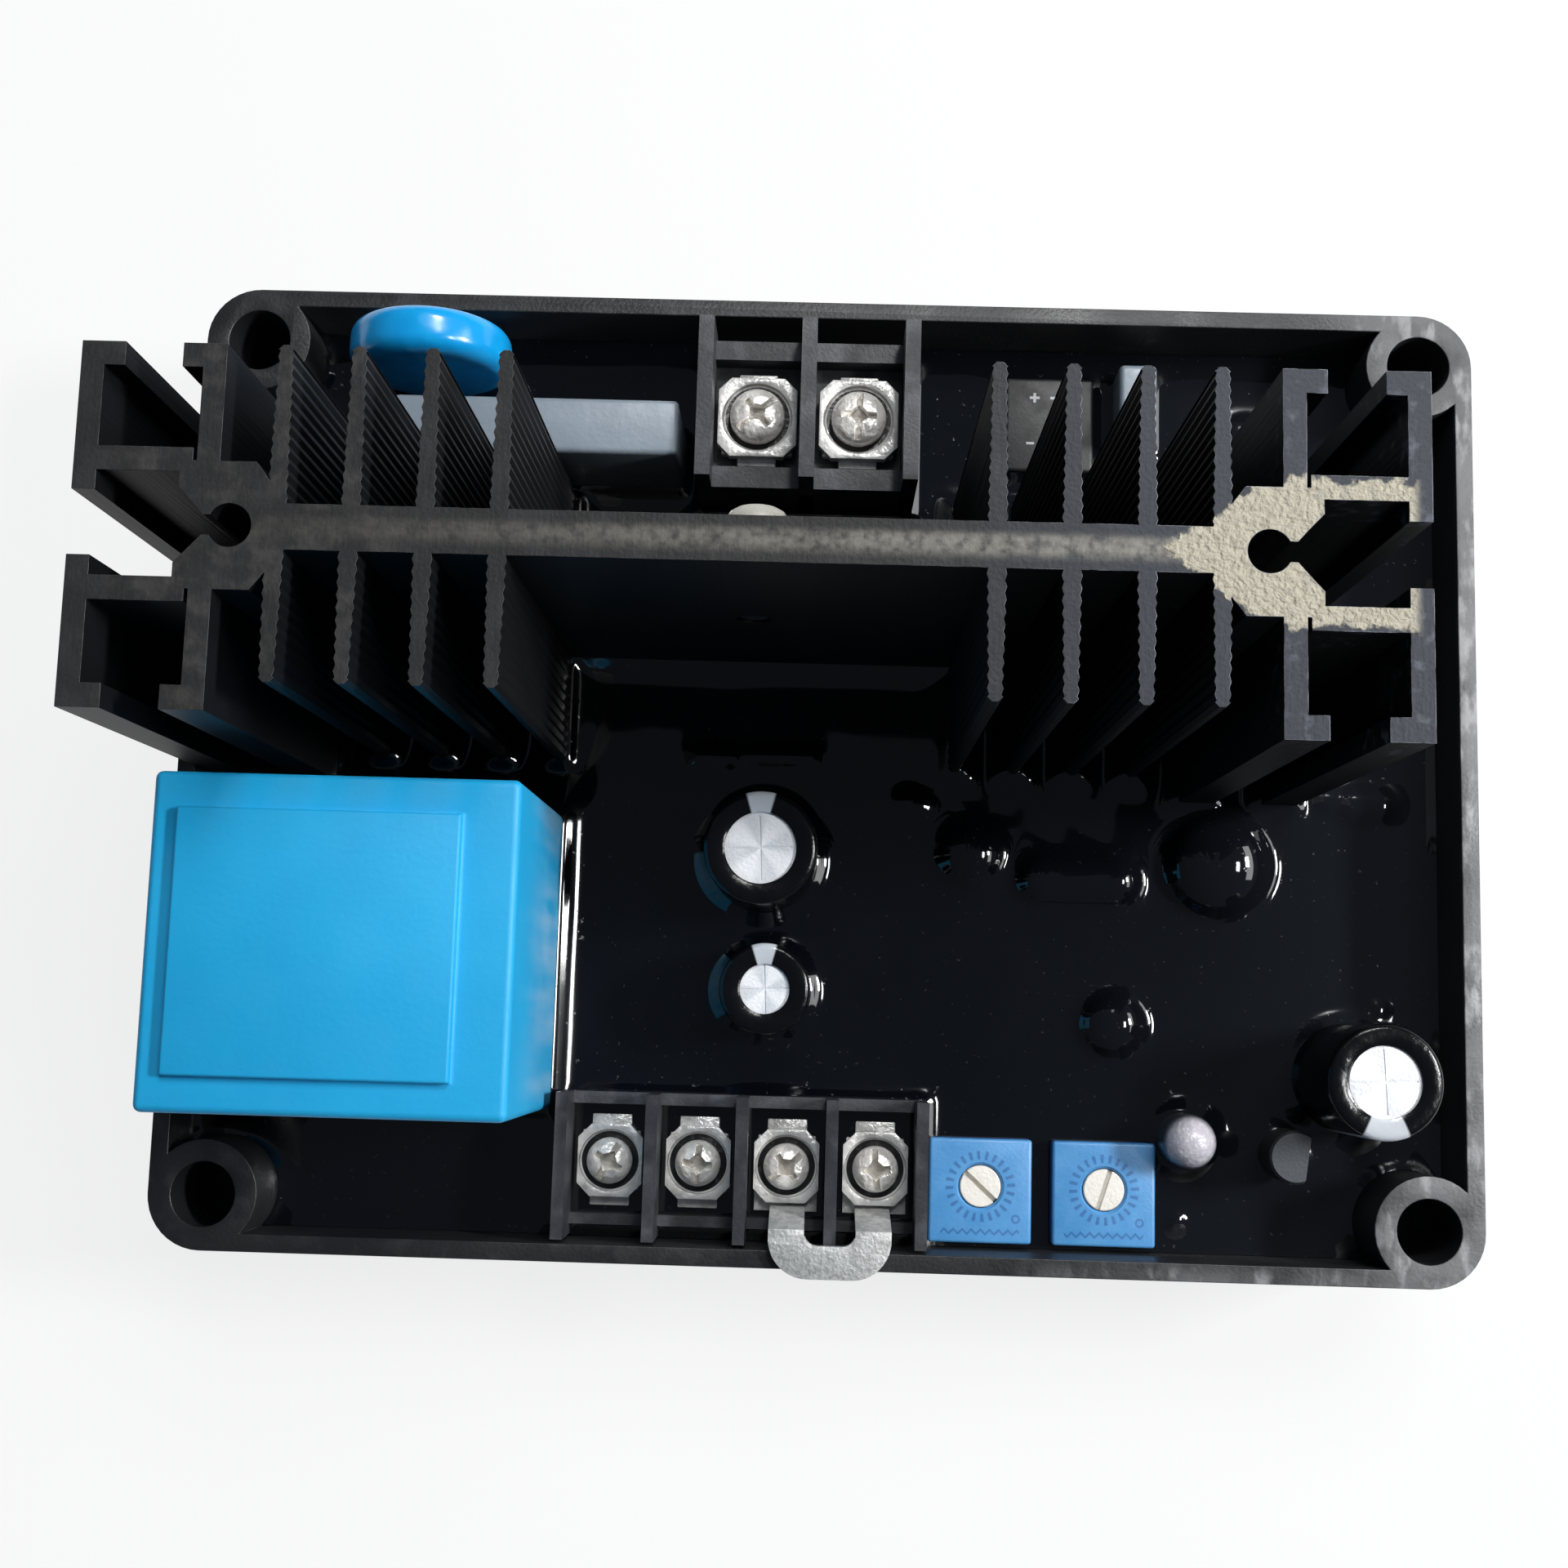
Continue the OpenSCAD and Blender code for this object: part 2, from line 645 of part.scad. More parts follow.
module round_outline(w, d, r) {
    square([w - 2 * r, d], center = true);
    square([w, d - 2 * r], center = true);
    for (sx = [-1, 1], sy = [-1, 1])
        translate([sx * (w / 2 - r), sy * (d / 2 - r)]) circle(r);
}

module at_each(points, z) {
    for (p = points) translate([p.x, p.y, z]) children();
}

module at_corners(x, y, z) {
    for (sx = [-1, 1], sy = [-1, 1]) translate([sx * x, sy * y, z]) children();
}

// A box on its middle in X and Y, from z upwards
module block(p, w, d, z, h) {
    translate([p.x - w / 2, p.y - d / 2, z]) cube([w, d, h]);
}

// Leads that run from under the board up to a height
module leads(points, top) {
    at_each(points, lead_z) cylinder(d = lead_d, h = top - lead_z);
}

// Tray

module tray() {
    color(black_plastic) difference() {
        union() {
            difference() {
                linear_extrude(tray_h) round_outline(tray_w, tray_d, corner_r);
                translate([0, 0, tray_floor])
                    linear_extrude(tray_h) round_outline(2 * in_x, 2 * in_y, corner_r - tray_wall);
            }
            at_corners(hole_x, hole_y, 0) cylinder(d = boss_d, h = tray_h);
            at_corners(post_x, post_spacing / 2, 0) cylinder(d = post_d, h = board_z);
        }
        at_corners(hole_x, hole_y, -over) cylinder(d = hole_d, h = tray_h + 2 * over);
    }
}

// Circuit board

module circuit_board() {
    color(board_green) difference() {
        block([0, 0], board_w, board_d, board_z, board_t);
        at_corners(hole_x, hole_y, board_z - over)
            cylinder(d = boss_d + 2 * board_gap, h = board_t + 2 * over);
        at_each(all_leads, board_z - over)
            cylinder(d = lead_d + 2 * lead_clear, h = board_t + 2 * over);
        at_each(all_pins, board_z - over)
            cylinder(d = pin_d + 2 * lead_clear, h = board_t + 2 * over);
        at_each(sink_screws, board_z - over)
            cylinder(d = sink_screw_d + 2 * screw_gap, h = board_t + 2 * over);
    }
}

// Potting resin, with a pocket for each piece that stands in it

function cap_radius(half, h) = (half * half + h * h) / (2 * h);

module resin_domes() {
    intersection() {
        union() {
            for (dome = round_domes) {
                r = cap_radius(dome[1], dome[2]);
                translate([dome[0].x, dome[0].y, pot_z + dome[2] - r]) sphere(r);
            }
            for (dome = long_domes) {
                r = cap_radius(dome[1], dome[2]);
                z = pot_z + dome[2] - r;
                l = dome[3];
                translate([dome[0].x - l / 2, dome[0].y, z]) rotate([0, 90, 0]) cylinder(r = r, h = l);
                for (s = [-1, 1]) translate([dome[0].x + s * l / 2, dome[0].y, z]) sphere(r);
            }
        }
        block([0, 0], 2 * (in_x - cure_gap), 2 * (in_y - cure_gap), deck_z + over, tray_h);
    }
}

module box_pocket(p, w, d, z, h) {
    block(p, w + 2 * cure_gap, d + 2 * cure_gap, z - cure_gap, h + cure_gap);
}

module round_pocket(p, d, z, h) {
    translate([p.x, p.y, z - cure_gap]) cylinder(d = d + 2 * cure_gap, h = h + cure_gap);
}

module axial_pocket(p, d, l) {
    translate([p.x - l / 2 - cure_gap, p.y, deck_z + axial_lift + d / 2])
        rotate([0, 90, 0]) cylinder(d = d + 2 * cure_gap, h = l + 2 * cure_gap);
    translate([p.x - l / 2 - axial_bend, p.y, deck_z + axial_lift + d / 2])
        rotate([0, 90, 0]) cylinder(d = lead_d + cure_gap, h = l + 2 * axial_bend);
}

module potting() {
    top = potting_depth + over;
    color(resin_black) difference() {
        union() {
            translate([0, 0, tray_floor + cure_gap])
                linear_extrude(pot_z - tray_floor - cure_gap)
                    round_outline(2 * (in_x - cure_gap), 2 * (in_y - cure_gap), corner_r - tray_wall);
            resin_domes();
        }
        at_corners(hole_x, hole_y, 0) cylinder(d = boss_d + 2 * cure_gap, h = pot_z + over);
        at_corners(post_x, post_spacing / 2, 0) cylinder(d = post_d + 2 * cure_gap, h = board_z + over / 2);
        block([0, 0], board_w + 2 * cure_gap, board_d + 2 * cure_gap,
            board_z - cure_gap, board_t + 2 * cure_gap);
        at_each(all_leads, lead_z - cure_gap)
            cylinder(d = lead_d + 2 * cure_gap, h = pot_z - lead_z - 0.6);
        at_each(concat(thyristor_leads, transistor_leads), lead_z - cure_gap)
            cylinder(d = lead_d + 2 * cure_gap, h = pot_z - lead_z + over);
        at_each(all_pins, lead_z - cure_gap) cylinder(d = pin_d + 2 * cure_gap, h = board_t + lead_out);
        at_each(sink_screws, board_z - sink_head_h - cure_gap)
            cylinder(d = sink_head_d + 2 * cure_gap, h = sink_head_h + over / 2);
        translate([sink_x, sink_y, deck_z - cure_gap]) sink_body(top, 0, cure_gap);
        box_pocket([transformer_x, transformer_y], transformer_w, transformer_d, deck_z, top);
        round_pocket(filter_cap, big_cap_d, deck_z, top);
        round_pocket(timing_cap, small_cap_d, deck_z, top);
        round_pocket(supply_cap, big_cap_d, deck_z, top);
        box_pocket(film_pos, film_l, film_t, deck_z, top);
        box_pocket(chip_film_pos, chip_film_t, chip_film_l, deck_z, top);
        box_pocket(varistor_pos, varistor_d, varistor_t, deck_z + varistor_lift, top);
        box_pocket(bridge_pos, bridge_w, bridge_d, deck_z, top);
        round_pocket(lamp_pos, lamp_d + 2 * lamp_flange_w, deck_z + lamp_lift, top);
        box_pocket([front_x, front_y0 + front_d / 2], front_w, front_d, deck_z, top);
        box_pocket([rear_x, rear_y1 - rear_d / 2], rear_w, rear_d, deck_z, top);
        box_pocket(left_trimmer_pos, trimmer_w, trimmer_w, deck_z, top);
        box_pocket(right_trimmer_pos, trimmer_w, trimmer_w, deck_z, top);
        round_pocket(choke_pos, choke_d, deck_z, choke_h + cure_gap);
        round_pocket(left_bead_pos, bead_d, deck_z, bead_h + cure_gap);
        round_pocket(right_bead_pos, bead_d, deck_z, bead_h + cure_gap);
        axial_pocket(resistor_pos, resistor_d, resistor_l);
        axial_pocket(diode_pos, diode_d, diode_l);
    }
}

// Heat sink

// A rectangle of the profile's end, on the left (-1) or the right (1)
module end_bar(side, x0, x1, y0, y1, grow) {
    a = x0 - grow;
    b = x1 + grow;
    polygon([
        [side * a, y0 - grow], [side * b, y0 - grow], [side * b, y1 + grow], [side * a, y1 + grow]
    ]);
}

// One side of a half fin from its root to its tip, with the grooves
function fin_side(tip, depth) =
    let (
        root = web_t / 2 - over / 2,
        n = floor((tip - root) / tooth_pitch),
        steps = depth > 0 ? 2 * n : 1
    )
    concat(
        [for (i = [0 : steps - 1])
            let (t = i / steps)
            [fin_t / 2 + (fin_tip_t - fin_t) / 2 * t - (i % 2) * depth, root + (tip - root) * t]],
        [[fin_tip_t / 2, tip - fin_tip_cut], [fin_tip_t / 2 - fin_tip_cut, tip]]
    );

module half_fin(tip, way, depth, grow) {
    side = fin_side(tip + grow, depth);
    n = len(side);
    polygon([
        for (p = side) [p.x + grow, way * p.y],
        for (i = [n - 1 : -1 : 0]) [-side[i].x - grow, way * side[i].y]
    ]);
}

module sink_end(side, grow) {
    polygon([
        [side * (hub_in - grow), web_t / 2 + grow],
        [side * (hub_in + hub_flare), hub_h / 2 + grow],
        [side * (hub_out + grow), hub_h / 2 + grow],
        [side * (hub_out + grow), -hub_h / 2 - grow],
        [side * (hub_in + hub_flare), -hub_h / 2 - grow],
        [side * (hub_in - grow), -web_t / 2 - grow]
    ]);
    inner_out = inner_plate_x + plate_t;
    for (way = [-1, 1]) {
        reach = way > 0 ? sink_rear : sink_front;
        plate_low = way > 0 ? hub_h / 2 - over : -reach;
        plate_high = way > 0 ? reach : over - hub_h / 2;
        hook_low = way > 0 ? reach - hook_t : -reach;
        hook_high = way > 0 ? reach : hook_t - reach;
        outer_low = way > 0 ? plate_gap / 2 : -reach;
        outer_high = way > 0 ? reach : -plate_gap / 2;
        end_bar(side, inner_plate_x, inner_out, plate_low, plate_high, grow);
        end_bar(side, inner_plate_x, inner_out + hook_l, hook_low, hook_high, grow);
        end_bar(side, outer_plate_x, sink_w / 2, outer_low, outer_high, grow);
        end_bar(side, outer_plate_x - hook_l, sink_w / 2, hook_low, hook_high, grow);
        end_bar(side, hub_out - over, sink_w / 2 - plate_t / 2,
            way * arm_y - arm_t / 2, way * arm_y + arm_t / 2, grow);
    }
}

// The extrusion without its channels, grown by a gap where it shapes a pocket
module sink_body(length, depth, grow) {
    linear_extrude(length) square([2 * hub_in + over, web_t + 2 * grow], center = true);
    for (side = [-1, 1]) {
        linear_extrude(length) sink_end(side, grow);
        for (i = [0 : fin_count - 1])
            translate([side * (fin_first + i * fin_pitch), 0, 0]) {
                linear_extrude(length) half_fin(sink_rear, 1, depth, grow);
                linear_extrude(length) half_fin(fin_front, -1, depth, grow);
            }
    }
}

// The open mouth of a screw channel
module channel_mouth(side) {
    mouth = arm_y - arm_t / 2;
    throat = channel_x + channel_d / 2 + 0.4;
    polygon([
        [side * channel_x, channel_slot / 2], [side * throat, channel_slot / 2],
        [side * (hub_out + over), mouth], [side * (hub_out + over), -mouth],
        [side * throat, -channel_slot / 2], [side * channel_x, -channel_slot / 2]
    ]);
}

module heat_sink() {
    color(anodised_black) difference() {
        translate([sink_x, sink_y, deck_z]) sink_body(sink_l, tooth_depth, 0);
        translate([sink_x, sink_y, deck_z - over]) for (side = [-1, 1]) {
            linear_extrude(sink_l + 2 * over) channel_mouth(side);
            translate([side * channel_x, 0, 0]) cylinder(d = channel_d, h = sink_l + 2 * over);
        }
        translate([sink_x, sink_y + web_t / 2 + over, thyristor_screw_z])
            rotate([90, 0, 0]) cylinder(d = thyristor_screw_d + 2 * thread_clear, h = web_t + 2 * over);
    }
}

module heat_sink_screws() {
    color(bright_metal) at_each(sink_screws, board_z) {
        cylinder(d = sink_screw_d, h = board_t + sink_screw_l);
        translate([0, 0, -sink_head_h]) cylinder(d = sink_head_d, h = sink_head_h);
    }
}

// Thyristor

module thyristor() {
    color("#202225") {
        difference() {
            block([sink_x, thyristor_y + thyristor_t / 2], thyristor_w, thyristor_t, thyristor_z, thyristor_h);
            translate([sink_x, thyristor_y - over, thyristor_screw_z]) rotate([-90, 0, 0]) {
                cylinder(d = thyristor_screw_d + 2 * screw_gap, h = thyristor_t + 2 * over);
                for (s = [-1, 1]) translate([s * thyristor_w / 2, 0, 0])
                    cylinder(r = thyristor_notch_r, h = thyristor_t + 2 * over);
            }
        }
        leads(thyristor_leads, thyristor_z + over);
    }
}

module thyristor_pad() {
    color("#8f9aa0") difference() {
        block([sink_x, thyristor_y - pad_t / 2], thyristor_w, pad_t, thyristor_z, thyristor_h);
        translate([sink_x, thyristor_y - pad_t - over, thyristor_screw_z]) rotate([-90, 0, 0])
            cylinder(d = thyristor_screw_d + 2 * screw_gap, h = pad_t + 2 * over);
    }
}

module thyristor_screw() {
    shank_l = thyristor_t + pad_t + web_t - tip_recess;
    seat_y = thyristor_y + thyristor_t;
    dome_r = cap_radius(thyristor_head_d / 2, thyristor_head_h);
    color(ivory) translate([sink_x, seat_y, thyristor_screw_z]) rotate([90, 0, 0]) {
        cylinder(d = thyristor_screw_d, h = shank_l);
        difference() {
            translate([0, 0, dome_r - thyristor_head_h]) sphere(dome_r);
            translate([-dome_r, -dome_r, 0]) cube([2 * dome_r, 2 * dome_r, 2 * dome_r]);
            translate([-dome_r, -drive_w / 2, -thyristor_head_h])
                cube([2 * dome_r, drive_w, drive_depth]);
        }
    }
}

// Transformer

module transformer() {
    color(blue) {
        translate([transformer_x, transformer_y, deck_z])
            linear_extrude(transformer_h) round_outline(transformer_w, transformer_d, transformer_r);
        translate([transformer_x - panel_shift, transformer_y, deck_z + transformer_h - over])
            linear_extrude(panel_h + over) round_outline(panel_w, panel_d, transformer_r);
        leads(transformer_leads, deck_z + over);
    }
}

// Electrolytic capacitors

module can(p, d, h) {
    can_d = d - 2 * (sleeve_t + sleeve_clear);
    color(bright_metal) {
        difference() {
            translate([p.x, p.y, deck_z]) cylinder(d = can_d, h = h);
            for (turn = [0, 90]) translate([p.x, p.y, deck_z + h - vent_depth]) rotate([0, 0, turn])
                translate([-can_d / 3, -vent_w / 2, 0]) cube([can_d * 2 / 3, vent_w, over]);
        }
        leads(pair(p, cap_lead_spacing), deck_z + over);
    }
}

module sleeve(p, d, h) {
    inner = d / 2 - sleeve_t;
    top = h + sleeve_clear + sleeve_t;
    color(black_plastic) translate([p.x, p.y, deck_z]) rotate_extrude() polygon([
        [inner, 0], [d / 2, 0], [d / 2, top - sleeve_t], [d / 2 - sleeve_t, top],
        [inner - lip_w, top], [inner - lip_w, top - sleeve_t], [inner, top - sleeve_t]
    ]);
}

module filter_capacitor_can() { can(filter_cap, big_cap_d, big_cap_h); }
module filter_capacitor_sleeve() { sleeve(filter_cap, big_cap_d, big_cap_h); }
module timing_capacitor_can() { can(timing_cap, small_cap_d, small_cap_h); }
module timing_capacitor_sleeve() { sleeve(timing_cap, small_cap_d, small_cap_h); }
module supply_capacitor_can() { can(supply_cap, big_cap_d, big_cap_h); }
module supply_capacitor_sleeve() { sleeve(supply_cap, big_cap_d, big_cap_h); }

// Other components that stand out of the resin

module film_capacitor() {
    color(pale_grey) {
        block(film_pos, film_l, film_t, deck_z, film_h);
        leads(film_leads, deck_z + over);
    }
}

module small_film_capacitor() {
    color(pale_grey) {
        block(chip_film_pos, chip_film_t, chip_film_l, deck_z, chip_film_h);
        leads(chip_film_leads, deck_z + over);
    }
}

module varistor() {
    core_r = (varistor_d - varistor_t) / 2;
    color(blue) {
        translate([varistor_pos.x, varistor_pos.y + varistor_t / 2, deck_z + varistor_lift + varistor_d / 2])
            rotate([90, 0, 0]) rotate_extrude() {
                square([core_r, varistor_t]);
                translate([core_r, varistor_t / 2]) circle(varistor_t / 2);
            }
        leads(pair(varistor_pos, varistor_d / 2), deck_z + varistor_lift + varistor_d / 4);
    }
}

module bridge_rectifier() {
    color("#1c1d1f") {
        block(bridge_pos, bridge_w, bridge_d, deck_z, bridge_h);
        leads(bridge_leads, deck_z + over);
    }
}

module small_transistor() {
    color("#2a2c30") {
        translate([transistor_pos.x, transistor_pos.y, deck_z + transistor_lift])
            rotate([0, 0, transistor_turn]) difference() {
                cylinder(d = transistor_w, h = transistor_h);
                translate([transistor_flat, -transistor_w, -over])
                    cube([transistor_w, 2 * transistor_w, transistor_h + 2 * over]);
            }
        leads(transistor_leads, deck_z + transistor_lift + over);
    }
}

module indicator_lamp() {
    base = deck_z + lamp_lift;
    color("#dcdde0") {
        translate([lamp_pos.x, lamp_pos.y, base]) {
            cylinder(d = lamp_d, h = lamp_h - lamp_d / 2);
            translate([0, 0, lamp_h - lamp_d / 2]) sphere(d = lamp_d);
            difference() {
                cylinder(d = lamp_d + 2 * lamp_flange_w, h = lamp_flange_h);
                translate([-2 * lamp_d - lamp_gap / 2, -lamp_d, -over])
                    cube([1.5 * lamp_d, 2 * lamp_d, lamp_flange_h + 2 * over]);
            }
        }
        leads(pair(lamp_pos, 2.54), base + over / 2);
    }
}

// Components under the resin

module choke() {
    color("#3a3a3c") {
        translate([choke_pos.x, choke_pos.y, deck_z]) cylinder(d = choke_d, h = choke_h);
        leads(pair(choke_pos, choke_d / 2), deck_z + over);
    }
}

module bead(p) {
    color("#b98a4a") {
        translate([p.x, p.y, deck_z]) cylinder(d = bead_d, h = bead_h);
        leads(pair(p, bead_d / 2), deck_z + over);
    }
}

module bead_capacitor_left() { bead(left_bead_pos); }
module bead_capacitor_right() { bead(right_bead_pos); }

// A round body that lies along X, with its leads bent down at both ends
module axial_part(p, d, l) {
    axis_z = deck_z + axial_lift + d / 2;
    translate([p.x - l / 2, p.y, axis_z]) rotate([0, 90, 0]) cylinder(d = d, h = l);
    translate([p.x - l / 2 - axial_bend, p.y, axis_z])
        rotate([0, 90, 0]) cylinder(d = lead_d * 0.9, h = l + 2 * axial_bend);
    leads(axial_pair(p, l), axis_z + lead_d / 2);
}

module load_resistor() { color("#c8b48a") axial_part(resistor_pos, resistor_d, resistor_l); }
module diode() { color("#26272a") axial_part(diode_pos, diode_d, diode_l); }

// Terminal blocks. The wire side is to the front (-1) or to the rear (1)

module terminal_base(x, y, wire, width, depth, seat, wire_wall, back_wall, wall_h) {
    base_d = depth - barrier_out;
    base_y = y - wire * barrier_out / 2;
    block([x, base_y], width, base_d, deck_z, seat);
    block([x, base_y + wire * (base_d - wire_wall) / 2], width, wire_wall, deck_z, seat + wall_h);
    block([x, base_y - wire * (base_d - back_wall) / 2], width, back_wall, deck_z, seat + wall_h);
}

module barriers(x, y, poles, pitch, thickness, depth, height) {
    for (i = [0 : poles]) block([x + (i - poles / 2) * pitch, y], thickness, depth, deck_z, height);
}

// The wells for the screws' ends and the holes for the contacts' pins
module terminal_bores(x, poles, pitch, seat, screw_y, pin_y) {
    for (i = [1 : poles]) {
        pole_x = x + (i - (poles + 1) / 2) * pitch;
        translate([pole_x, screw_y, deck_z + screw_gap])
            cylinder(d = thread_d + 2 * screw_gap, h = seat);
        translate([pole_x, pin_y, deck_z - over])
            cylinder(d = pin_d + 2 * lead_clear, h = seat + over + contact_t / 2);
    }
}

module front_terminal_block() {
    y = front_y0 + front_d / 2;
    color(black_plastic) difference() {
        union() {
            terminal_base(front_x, y, -1, front_w, front_d, front_seat, front_wire_wall, front_back_wall, front_wall_h);
            barriers(front_x, y, front_poles, front_pitch, front_barrier_t, front_d, front_h);
        }
        terminal_bores(front_x, front_poles, front_pitch, front_seat, front_screw_y, front_pin_y);
    }
}

module rear_terminal_block() {
    y = rear_y1 - rear_d / 2;
    color(black_plastic) difference() {
        union() {
            terminal_base(rear_x, y, 1, rear_w, rear_d, rear_seat, rear_wire_wall, rear_back_wall, rear_wall_h);
            barriers(rear_x, y, rear_poles, rear_pitch, rear_barrier_t, rear_d, rear_h);
        }
        terminal_bores(rear_x, rear_poles, rear_pitch, rear_seat, rear_screw_y, rear_pin_y);
    }
}

// A contact strip, widened around its tapped hole, with its pin to the board
module contact(x, screw_y, pin_y, seat, width, strip_w, strip_l) {
    color(bright_metal) {
        difference() {
            union() {
                block([x, screw_y], width, width, deck_z + seat, contact_t);
                block([x, screw_y], strip_w, strip_l, deck_z + seat, contact_t);
            }
            translate([x, screw_y, deck_z + seat - over])
                cylinder(d = thread_d + 2 * thread_clear, h = contact_t + 2 * over);
        }
        translate([x, pin_y, lead_z]) cylinder(d = pin_d, h = deck_z + seat + contact_t / 2 - lead_z);
    }
}

// A clamping washer with clipped corners and a dish for the head
module washer(x, y, z, width, length, head_d) {
    dish_d = head_d + 2 * dish_clear;
    a = width / 2;
    b = length / 2;
    c = washer_clip;
    color(bright_metal) translate([x, y, z]) difference() {
        linear_extrude(washer_t) polygon([
            [-a, c - b], [c - a, -b], [a - c, -b], [a, c - b], [a, b - c], [a - c, b], [c - a, b], [-a, b - c]
        ]);
        translate([0, 0, washer_t - dish_depth]) cylinder(d = dish_d, h = over);
        translate([0, 0, -over]) cylinder(d = thread_d + 2 * screw_gap, h = washer_t + 2 * over);
    }
}

// A terminal screw with a domed head and a cross drive
module screw(x, y, z, head_d, length, turn) {
    dome_r = cap_radius(head_d / 2, head_h * 0.6);
    edge_h = head_h * 0.4;
    color(bright_metal) translate([x, y, z]) rotate([0, 0, turn]) {
        translate([0, 0, -length]) cylinder(d = thread_d, h = length + over / 2);
        difference() {
            union() {
                cylinder(d = head_d, h = edge_h);
                intersection() {
                    translate([0, 0, head_h - dome_r]) sphere(dome_r);
                    cylinder(d = head_d, h = head_h + over);
                }
            }
            for (a = [0, 90]) rotate([0, 0, a])
                translate([-head_d * (a == 0 ? 0.6 : 0.32), -drive_w / 2, head_h - drive_depth])
                    cube([head_d * (a == 0 ? 1.2 : 0.64), drive_w, over + drive_depth]);
        }
    }
}

module front_contact(i) {
    contact(front_pole_x(i), front_screw_y, front_pin_y, front_seat, front_washer_w * contact_part,
        front_strip_w, front_strip_l);
}

module rear_contact(i) {
    contact(rear_pole_x(i), rear_screw_y, rear_pin_y, rear_seat, rear_washer_w * contact_part,
        rear_strip_w, rear_strip_l);
}

// The link lifts the fittings of the poles that it joins
function front_lift(i) = i > front_poles - 2 ? link_t : 0;
front_turns = [20, 75, 130, 95];
rear_turns = [40, 85];

module front_washer(i) {
    washer(front_pole_x(i), front_screw_y, deck_z + front_seat + washer_z + front_lift(i),
        front_washer_w, front_washer_l, front_head_d);
}

module rear_washer(i) {
    washer(rear_pole_x(i), rear_screw_y, deck_z + rear_seat + washer_z, rear_washer_w, rear_washer_l, rear_head_d);
}

module front_screw(i) {
    screw(front_pole_x(i), front_screw_y, deck_z + front_seat + head_z + front_lift(i),
        front_head_d, front_screw_l, front_turns[i - 1]);
}

module rear_screw(i) {
    screw(rear_pole_x(i), rear_screw_y, deck_z + rear_seat + head_z, rear_head_d, rear_screw_l, rear_turns[i - 1]);
}

// The fittings of each pole, counted from the left

module front_contact_1() { front_contact(1); }
module front_contact_2() { front_contact(2); }
module front_contact_3() { front_contact(3); }
module front_contact_4() { front_contact(4); }
module front_washer_1() { front_washer(1); }
module front_washer_2() { front_washer(2); }
module front_washer_3() { front_washer(3); }
module front_washer_4() { front_washer(4); }
module front_screw_1() { front_screw(1); }
module front_screw_2() { front_screw(2); }
module front_screw_3() { front_screw(3); }
module front_screw_4() { front_screw(4); }
module rear_contact_1() { rear_contact(1); }
module rear_contact_2() { rear_contact(2); }
module rear_washer_1() { rear_washer(1); }
module rear_washer_2() { rear_washer(2); }
module rear_screw_1() { rear_screw(1); }
module rear_screw_2() { rear_screw(2); }

// Terminal link

// The side view of a leg, bent up from the screw to the rim
module leg_profile() {
    flat_end = link_top_bend_y - over / 2;
    polygon([
        [link_bend_y + over, link_low_z], [link_bend_y, link_low_z],
        [link_top_bend_y, link_high_z], [flat_end, link_high_z],
        [flat_end, link_high_z + link_t], [link_top_bend_y + link_corner, link_high_z + link_t],
        [link_bend_y + link_corner, link_low_z + link_t], [link_bend_y + over, link_low_z + link_t]
    ]);
}

module terminal_link() {
    leg_x = (front_pitch - link_inset) / 2;
    half_w = leg_x + link_leg_w / 2;
    gap_w = leg_x - link_leg_w / 2;
    gap_y = link_y0 + link_leg_w * 0.9;
    color(zinc) {
        for (s = [-1, 1]) {
            difference() {
                block([link_x + s * front_pitch / 2, (link_rear_y + link_bend_y) / 2],
                    fork_w, link_rear_y - link_bend_y, link_low_z, link_t);
                block([link_x + s * front_pitch / 2, link_rear_y + over / 2 + (front_screw_y - link_rear_y) / 2],
                    fork_slot, link_rear_y - front_screw_y + over, link_low_z - over, link_t + 2 * over);
                translate([link_x + s * front_pitch / 2, front_screw_y, link_low_z - over])
                    cylinder(d = fork_slot, h = link_t + 2 * over);
            }
            translate([link_x + s * leg_x - link_leg_w / 2, 0, 0])
                rotate([90, 0, 90]) linear_extrude(link_leg_w) leg_profile();
        }
        translate([link_x, 0, link_high_z]) linear_extrude(link_t) difference() {
            union() {
                translate([-half_w, link_y0 + link_r]) square([2 * half_w, link_top_bend_y - link_y0 - link_r]);
                translate([link_r - half_w, link_y0]) square([2 * (half_w - link_r), link_r]);
                for (s = [-1, 1]) translate([s * (half_w - link_r), link_y0 + link_r]) circle(link_r);
            }
            translate([-gap_w, gap_y + gap_w / 2]) square([2 * gap_w, link_r]);
            translate([-gap_w / 2, gap_y]) square([gap_w, link_r]);
            for (s = [-1, 1]) translate([s * gap_w / 2, gap_y + gap_w / 2]) circle(gap_w / 2);
        }
    }
}

// Trimmers

module trimmer(p) {
    top = deck_z + trimmer_h;
    depth = rotor_h + rotor_clear;
    color(trimmer_blue) {
        difference() {
            block(p, trimmer_w, trimmer_w, deck_z, trimmer_h);
            translate([p.x, p.y + rotor_shift, top - depth])
                cylinder(d = rotor_d + 2 * rotor_clear, h = depth + over);
        }
        leads(trimmer_leads(p), deck_z + over);
    }
}

module rotor(p, turn) {
    color(ivory) translate([p.x, p.y + rotor_shift, deck_z + trimmer_h - rotor_h]) difference() {
        cylinder(d = rotor_d, h = rotor_h);
        rotate([0, 0, turn]) translate([-rotor_d, -rotor_slot_w / 2, rotor_h - rotor_slot_depth])
            cube([2 * rotor_d, rotor_slot_w, rotor_slot_depth + over]);
    }
}

